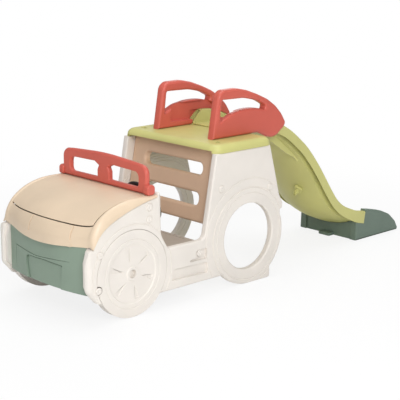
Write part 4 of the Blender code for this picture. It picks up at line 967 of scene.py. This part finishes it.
def chute_depths(point):
    """Depths below the rim at one place: skirt, edge of the bed and middle of the bed."""
    bed = HUMP_TOP - DECK_Z - SEAT_GAP - CHUTE_WALL
    share = min(1.0, max(0.0, (point.x - HUMP_END) / HUMP_FADE))
    share = share * share * (3 - 2 * share)
    low = min(1.0, max(0.0, (point.x - CHUTE_END + HUMP_FADE) / HUMP_FADE))
    skirt = (bed + CHUTE_WALL) * (1 - share) + SKIRT_DEPTH * share + SKIRT_END_EXTRA * low
    edge = (bed - 0.002) * (1 - share) + BED_EDGE_DEPTH * share
    return skirt, edge, bed * (1 - share) + BED_DEPTH * share


def bed_curve(edge, middle, half):
    """The bed's curve from one side to the other, as (across, depth)."""
    points = []
    for step in range(25):
        across = half * (1 - 2 * step / 24)
        points.append((across, middle - (middle - edge) * (across / half) ** 2))
    return points


def chute_section(point):
    """The chute's wall at one place, round at the rim, as (across, depth below the rim)."""
    skirt, edge, middle = chute_depths(point)
    outer, wall = CHUTE_HALF_WIDTH, 0.005
    inner = outer - CHUTE_RIM
    soft = 0.009
    half = [(outer, skirt)]
    for centre, start in ((outer - soft, 0), (inner + soft, 90)):
        for step in range(5):
            a = math.radians(start + 22.5 * step)
            half.append((centre + soft * math.cos(a), soft - soft * math.sin(a)))
    bed = bed_curve(edge, middle, inner - 0.004)
    under = bed_curve(edge + wall, middle + wall, inner - 0.001)
    channel = [(inner + wall, soft + wall), (inner + soft + 0.002, wall), (outer - soft - 0.002, wall)]
    channel += [(outer - wall, soft + wall), (outer - wall, skirt)]
    section = half + bed + [(-across, depth) for across, depth in reversed(half)]
    section += [(-across, depth) for across, depth in reversed(channel)]
    section += list(reversed(under)) + channel
    return section


def swept(section, stations):
    """Extrudes a section from station to station and sets each copy to its own size."""
    tool = bmesh.new()
    point, down = stations[0]
    ring = [tool.verts.new(across_y(point + down * depth, across)) for across, depth in section(point)]
    start = tool.faces.new(ring)
    edges = start.edges[:]
    loop = ring
    for point, down in stations[1:]:
        fresh = bmesh.ops.extrude_edge_only(tool, edges=edges)["geom"]
        edges = [g for g in fresh if isinstance(g, bmesh.types.BMEdge)]
        partner = {}
        for edge in (e for v in loop for e in v.link_edges):
            for a, b in ((edge.verts[0], edge.verts[1]), (edge.verts[1], edge.verts[0])):
                if a in loop and b not in loop and b in {v for e in edges for v in e.verts}:
                    partner[a] = b
        loop = [partner[v] for v in loop]
        for vert, (across, depth) in zip(loop, section(point)):
            vert.co = across_y(point + down * depth, across)
    tool.faces.new(loop)
    bmesh.ops.recalc_face_normals(tool, faces=tool.faces)
    return tool


def chute():
    """The chute with its turned-down rims, its start cut to meet the deck; its two ribs come from
    chute_rib.
    """
    made = blank(swept(chute_section, CHUTE_PATH), "chute")
    nose = [(0.85, DECK_Z + 0.012, 0.0), (CHUTE_START, DECK_Z + 0.012, 0.0), (0.892, 0.778, 0.05)]
    nose += [(0.916, 0.800, 0.04), (0.948, HUMP_TOP + 0.002, 0.0), (0.948, 0.90, 0.0), (0.85, 0.90, 0.0)]
    return worked(made, [slab(nose, -0.3, 0.3, across_y)])


def chute_rib(side):
    """A rib along the underside of the chute, tapered to nothing at its ends."""
    first, last = RIB_RUN
    stations = [s for s in CHUTE_PATH if first < s[0].x < last]

    def section(point):
        skirt, edge, middle = chute_depths(point)
        share = (point.x - first) / (last - first)
        tall = 0.005 + 0.024 * math.sin(math.pi * min(1.0, share * 1.1 + 0.02)) ** 0.6
        depth = middle + 0.0045 - (middle - edge) * (RIB_ACROSS / 0.1775) ** 2
        shape = [(-0.010, depth), (-0.006, depth + tall), (0.006, depth + tall), (0.010, depth - 0.004)]
        return [(side * (RIB_ACROSS + step), down) for step, down in shape]

    return softened(swept(section, stations), 0.003, 2, 40)


def chute_envelope(point):
    """The chute's outside, a seat gap larger, for its cradle in the foot."""
    skirt, edge, middle = chute_depths(point)
    outer = CHUTE_HALF_WIDTH + 0.0006
    inner = CHUTE_HALF_WIDTH - CHUTE_RIM
    gap = 0.0008
    under = bed_curve(edge + CHUTE_WALL + gap, middle + CHUTE_WALL + gap, inner)
    low = max(skirt, edge + CHUTE_WALL) + gap
    section = [(outer, -0.25), (outer, low), (inner + 0.004, low), *under, (-inner - 0.004, low)]
    return section + [(-outer, low), (-outer, -0.25)]


def run_out():
    """A tool that opens the foot's run-out: a shallow trough that widens towards its end."""
    run = [(CHUTE_END - 0.004, 0.069, 0.109, 0.1785), (FOOT_END - 0.232, 0.056, 0.092, 0.180)]
    run += [(FOOT_END - 0.144, 0.043, 0.064, 0.184), (FOOT_END - 0.062, 0.034, 0.044, 0.190)]
    run.append((FOOT_END + 0.050, 0.030, 0.032, 0.196))
    tool = bmesh.new()
    rings = []
    for x, middle, edge, inner in run:
        ring = [(-inner, 0.30)]
        for step in range(21):
            y = inner * (2 * step / 20 - 1)
            ring.append((y, edge - (edge - middle) * (1 - (y / inner) ** 2)))
        rings.append([tool.verts.new(across_x(p, x)) for p in [*ring, (inner, 0.30)]])
    for ring in rings:
        for a, b in zip(ring, ring[1:] + ring[:1]):
            tool.edges.new((a, b))
    for a, b in zip(rings, rings[1:]):
        edges = [tool.edges.get(pair) for ring in (a, b) for pair in zip(ring, ring[1:] + ring[:1])]
        bmesh.ops.bridge_loops(tool, edges=edges)
    tool.faces.new(rings[0])
    tool.faces.new(rings[-1])
    return closed(tool)


def foot():
    """The slide's foot: two wings, a run-out, and a cradle for the end of the chute."""
    corners = [(FOOT_FRONT, 0.0, 0.004), (FOOT_END - 0.006, 0.0, 0.004), (FOOT_END, 0.014, 0.008)]
    corners += [(FOOT_END - 0.028, 0.059, 0.040), (FOOT_END - 0.088, 0.110, 0.080)]
    corners += [(FOOT_END - 0.166, 0.143, 0.12), (FOOT_END - 0.256, 0.164, 0.15)]
    corners += [(CHUTE_END, FOOT_TOP, 0.0), (CHUTE_END, FOOT_TOP + 0.07, 0.0)]
    corners.append((FOOT_FRONT + 0.010, FOOT_TOP + 0.07, 0.0))
    made = blank(slab(corners, -FOOT_HALF_WIDTH, FOOT_HALF_WIDTH, across_y, 0.0075, 8), "foot")
    stations = [s for s in CHUTE_PATH if s[0].x > CRADLE_START]
    past = (CHUTE_PATH[-1][0] - CHUTE_PATH[-2][0]).normalized() * 0.0006
    stations.append((CHUTE_PATH[-1][0] + past, CHUTE_PATH[-1][1]))
    tab = [(FOOT_FRONT - 0.035, -0.042, 0.009), (FOOT_FRONT + 0.02, -0.042, 0.0)]
    tab += [(FOOT_FRONT + 0.02, 0.042, 0.0), (FOOT_FRONT - 0.035, 0.042, 0.009)]
    front = [(-0.172, -0.02, 0.0), (0.172, -0.02, 0.0), (0.172, 0.150, 0.012), (-0.172, 0.150, 0.012)]
    between = pressing(front, FOOT_FRONT, FOOT_FRONT + 0.010, across_x, 0.002)
    worked(made, [swept(chute_envelope, stations), run_out(), between])
    worked(made, [slab(tab, 0.0, 0.018, across_z, 0.002)], "UNION")
    hole = drill(TAB_HOLE_RADIUS, -0.02, 0.05, 24)
    return worked(made, [moved(hole, Matrix.Translation((FOOT_FRONT - 0.0175, 0, 0)))])


def handrail():
    """The left handrail: a round front post and top bar over a web that clasps the chute's rim."""
    bottom = DECK_Z + SEAT_GAP
    corners = [(RAIL_START, bottom, 0.0), (0.955, bottom, 0.020), (1.020, 0.714, 0.060)]
    corners += [(1.062, 0.704, 0.060), (1.098, 0.712, 0.030), (1.152, 0.752, 0.040)]
    corners += [(1.166, 0.774, 0.024), (1.132, 0.826, 0.10)]
    corners += [(1.085, 0.872, 0.12), (1.020, 0.914, 0.15), (0.950, 0.944, 0.20), (0.870, 0.972, 0.20)]
    corners += [(0.800, 0.987, 0.20), (0.669, 0.986, 0.050)]
    made = blank(slab(corners, RAIL_OUTER, RAIL_INNER, across_y, 0.0165, 8), "rail")
    window = [(0.662, 0.805, 0.014), (0.760, 0.848, 0.10), (0.850, 0.863, 0.30), (0.932, 0.861, 0.30)]
    window += [(1.010, 0.843, 0.020), (1.024, 0.888, 0.024), (0.953, 0.925, 0.15), (0.852, 0.947, 0.20)]
    window += [(0.680, 0.951, 0.026)]
    tools = through(window, RAIL_OUTER, RAIL_INNER, across_y, 0.0140)
    recess = [(0.706, 0.772, 0.020), (1.075, 0.764, 0.020), (1.098, 0.788, 0.018), (1.056, 0.832, 0.020)]
    recess += [(0.985, 0.872, 0.015), (0.722, 0.872, 0.020)]
    tools.append(pressing(recess, RAIL_INNER, RAIL_INNER - 0.024, across_y, 0.003, 0.004))

    def rim_space(point):
        gap = 0.0006
        outside, inside = -CHUTE_HALF_WIDTH - gap, -0.160
        return [(outside, 0.12), (outside, -gap), (inside, -gap), (inside, 0.12)]

    tools.append(swept(rim_space, CHUTE_PATH[:RAIL_STATIONS]))
    return worked(made, tools)


def connector():
    """The hose connector under the chute: a diamond plate, a body with a collar, and a nozzle."""
    def belly(station, across):
        point, down = station
        _, edge, middle = chute_depths(point)
        share = across / (CHUTE_HALF_WIDTH - CHUTE_RIM - 0.002)
        return across_y(point + down * (middle + CHUTE_WALL - (middle - edge) * share**2), across)

    near = next(i for i, s in enumerate(CHUTE_PATH) if s[0].x > CONNECTOR_X)
    above, below = CHUTE_PATH[near - 2], CHUTE_PATH[near + 2]
    inner, outer = -0.0441, -0.0882
    high = [belly(above, inner), belly(above, outer)]
    low = [belly(below, inner), belly(below, outer)]
    along = (low[0] + low[1] - high[0] - high[1]).normalized()
    down = (high[0] + low[0] - high[1] - low[1]).cross(along).normalized()
    turn = Matrix((along, down.cross(along), down)).transposed().to_4x4()
    centre = (high[0] + high[1] + low[0] + low[1]) / 4 + down * 0.0014
    half = 0.0340
    diamond = [(-half, 0, 0.005), (0, -half, 0.005), (half, 0, 0.005), (0, half, 0.005)]
    plate = slab(diamond, 0, 0.015, across_z, 0.0025)
    profile = [(0, 0.008), (0.015, 0.008), (0.015, 0.016), (0.012, 0.018), (0.012, 0.026), (0.015, 0.028)]
    profile += [(0.015, 0.032), (0.009, 0.034), (0.009, 0.048), (0.006, 0.050), (0.006, 0.040), (0, 0.040)]
    body = softened(turning(profile, 40), 0.0006, 2, 25)
    return blank(moved(together(plate, body), Matrix.Translation(centre) @ turn), "connector")


# Everything in its place

for kind, shape, slot in (
    ("side_panel", side_panel, "cream"),
    ("front_wheel", wheel, "cream"),
    ("handrail", handrail, "coral"),
):
    left = shape()
    right = mirrored(left)
    finished(left, f"left_{kind}_moulding", slot, [f"left_{kind}"])
    finished(right, f"right_{kind}_moulding", slot, [f"right_{kind}"])

for name, side in SIDES:
    for screw, x, z in SCREW_PLACES:
        finished(cap_screw(side, x, z), f"{name}_{screw}_cap", "cream", [f"{name}_{screw}"])
    finished(hub_bolt(side), f"{name}_hub_bolt_cap", "cream", [f"{name}_hub_bolt"])

hood_piece("hood_frame", False, "playhouse")
hood_piece("hood_lid", True, "hood_lid")

for made_for, shape, slot, body in (
    ("front_bumper", bumper, "sage", "playhouse"),
    ("windshield", windshield, "coral", "playhouse"),
    ("dashboard", dashboard, "cream", "playhouse"),
    ("steering_column", steering_column, "cream", "playhouse"),
    ("steering_wheel", steering_wheel, "black", "steering"),
    ("steering_hub_cap", hub_cap, "black", "steering"),
    ("storage_bin", storage_bin, "taupe", "playhouse"),
    ("seat", seat, "taupe", "playhouse"),
    ("ladder_panel", ladder, "tan", "playhouse"),
    ("roof_deck", roof, "lime", "playhouse"),
    ("slide_chute", chute, "lime", "playhouse"),
    ("slide_foot", foot, "slate_green", "playhouse"),
    ("hose_connector", connector, "lime", "playhouse"),
):
    finished(shape(), f"{made_for}_moulding", slot, [made_for], body)

for name, side in SIDES:
    finished(blank(chute_rib(side), "rib"), f"{name}_chute_rib", "lime", [])
    lid_lug = hinge_lug(side, LID_HALF_WIDTH - LID_GAP - SEAT_GAP - LUG_WIDTH)
    finished(lid_lug, f"{name}_lid_lug", "beige", [], "hood_lid")
    frame_lug = hinge_lug(side, LID_HALF_WIDTH + LID_GAP + SEAT_GAP)
    finished(frame_lug, f"{name}_frame_lug", "beige", [])

for carried in ("left_hinge_pin", "right_hinge_pin", "steering_shaft", "steering_collar"):
    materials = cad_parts[carried].data.materials
    materials.clear()
    materials.append(PLASTICS["black"])


# Camera, light and floor

CAMERA_PLACE = (-4.18305, -4.2063, 1.77786)
CAMERA_LENS = 101.917
AIR_STRENGTH = 0.34
PAPER_GREY = (0.93, 0.93, 0.93, 1)
WHITE = (1, 1, 1, 1)

camera = bpy.data.objects.new("photo_camera", bpy.data.cameras.new("photo_camera"))
bpy.context.scene.collection.objects.link(camera)
yaw, pitch, roll = 0.7582, 0.2374, 0.0051
forward = Vector((math.sin(yaw) * math.cos(pitch), math.cos(yaw) * math.cos(pitch), -math.sin(pitch)))
sideways = Vector((math.cos(yaw), -math.sin(yaw), 0))
upward = sideways.cross(forward)
right_axis = sideways * math.cos(roll) + upward * math.sin(roll)
up_axis = upward * math.cos(roll) - sideways * math.sin(roll)
turn = Matrix((right_axis, up_axis, -forward)).transposed().to_4x4()
camera.matrix_world = Matrix.Translation(CAMERA_PLACE) @ turn
camera.data.sensor_width = 36
camera.data.lens = CAMERA_LENS
camera.data.clip_end = 100
bpy.context.scene.camera = camera


def lamp(name, place, aim, size, power):
    made = bpy.data.objects.new(name, bpy.data.lights.new(name, "AREA"))
    bpy.context.scene.collection.objects.link(made)
    made.data.shape = "DISK"
    made.data.size = size
    made.data.energy = power
    made.location = place
    made.rotation_euler = (Vector(aim) - Vector(place)).to_track_quat("-Z", "Y").to_euler()


lamp("key_softbox", (-3.0, -4.4, 3.1), (0, 0, 0.4), 2.6, 158)
lamp("front_softbox", (-6.0, -1.6, 0.9), (-0.4, 0, 0.4), 2.0, 34)
lamp("top_softbox", (0.0, 0.0, 5.0), (0, 0, 0.3), 4.0, 105)
lamp("rear_softbox", (4.0, 3.0, 2.8), (0.2, 0, 0.4), 3.0, 35)

world = bpy.data.worlds.new("studio")
bpy.context.scene.world = world
world.use_nodes = True
sky = world.node_tree
air = sky.nodes["Background"]
air.inputs["Color"].default_value = WHITE
air.inputs["Strength"].default_value = AIR_STRENGTH
backdrop = shader_node(sky, "Background", {"Color": WHITE, "Strength": 1.0})
seen = shader_node(sky, "LightPath", {})
choice = shader_node(sky, "MixShader", {})
sky.links.new(seen.outputs["Is Camera Ray"], choice.inputs["Fac"])
sky.links.new(air.outputs["Background"], choice.inputs[1])
sky.links.new(backdrop.outputs["Background"], choice.inputs[2])
sky.links.new(choice.outputs["Shader"], sky.nodes["World Output"].inputs["Surface"])

floor_tool = bmesh.new()
bmesh.ops.create_grid(floor_tool, x_segments=1, y_segments=1, size=30)
floor = blank(floor_tool, "studio_floor")
paper = bpy.data.materials.new("studio_paper")
paper.use_nodes = True
sheet = paper.node_tree
matt = sheet.nodes["Principled BSDF"]
matt.inputs["Base Color"].default_value = PAPER_GREY
matt.inputs["Roughness"].default_value = 0.9
glow = shader_node(sheet, "Emission", {"Strength": 1.0})
blend = shader_node(sheet, "MixShader", {})
ray = shader_node(sheet, "LightPath", {})
spot = shader_node(sheet, "TexCoord", {})
reach = shader_node(sheet, "VectorMath", {})
reach.operation = "LENGTH"
away = shader_node(sheet, "MapRange", {"From Min": 1.1, "From Max": 3.0, "To Min": 0.84, "To Max": 1.0})
away.interpolation_type = "SMOOTHSTEP"
share = shader_node(sheet, "Math", {})
share.operation = "MULTIPLY"
sheet.links.new(spot.outputs["Object"], reach.inputs[0])
sheet.links.new(reach.outputs["Value"], away.inputs["Value"])
sheet.links.new(ray.outputs["Is Camera Ray"], share.inputs[0])
sheet.links.new(away.outputs["Result"], share.inputs[1])
sheet.links.new(share.outputs["Value"], blend.inputs["Fac"])
sheet.links.new(matt.outputs["BSDF"], blend.inputs[1])
sheet.links.new(glow.outputs["Emission"], blend.inputs[2])
sheet.links.new(blend.outputs["Shader"], sheet.nodes["Material Output"].inputs["Surface"])
floor.data.materials.append(paper)
floor.location.z = -0.0005

bpy.context.scene.view_settings.view_transform = "Standard"
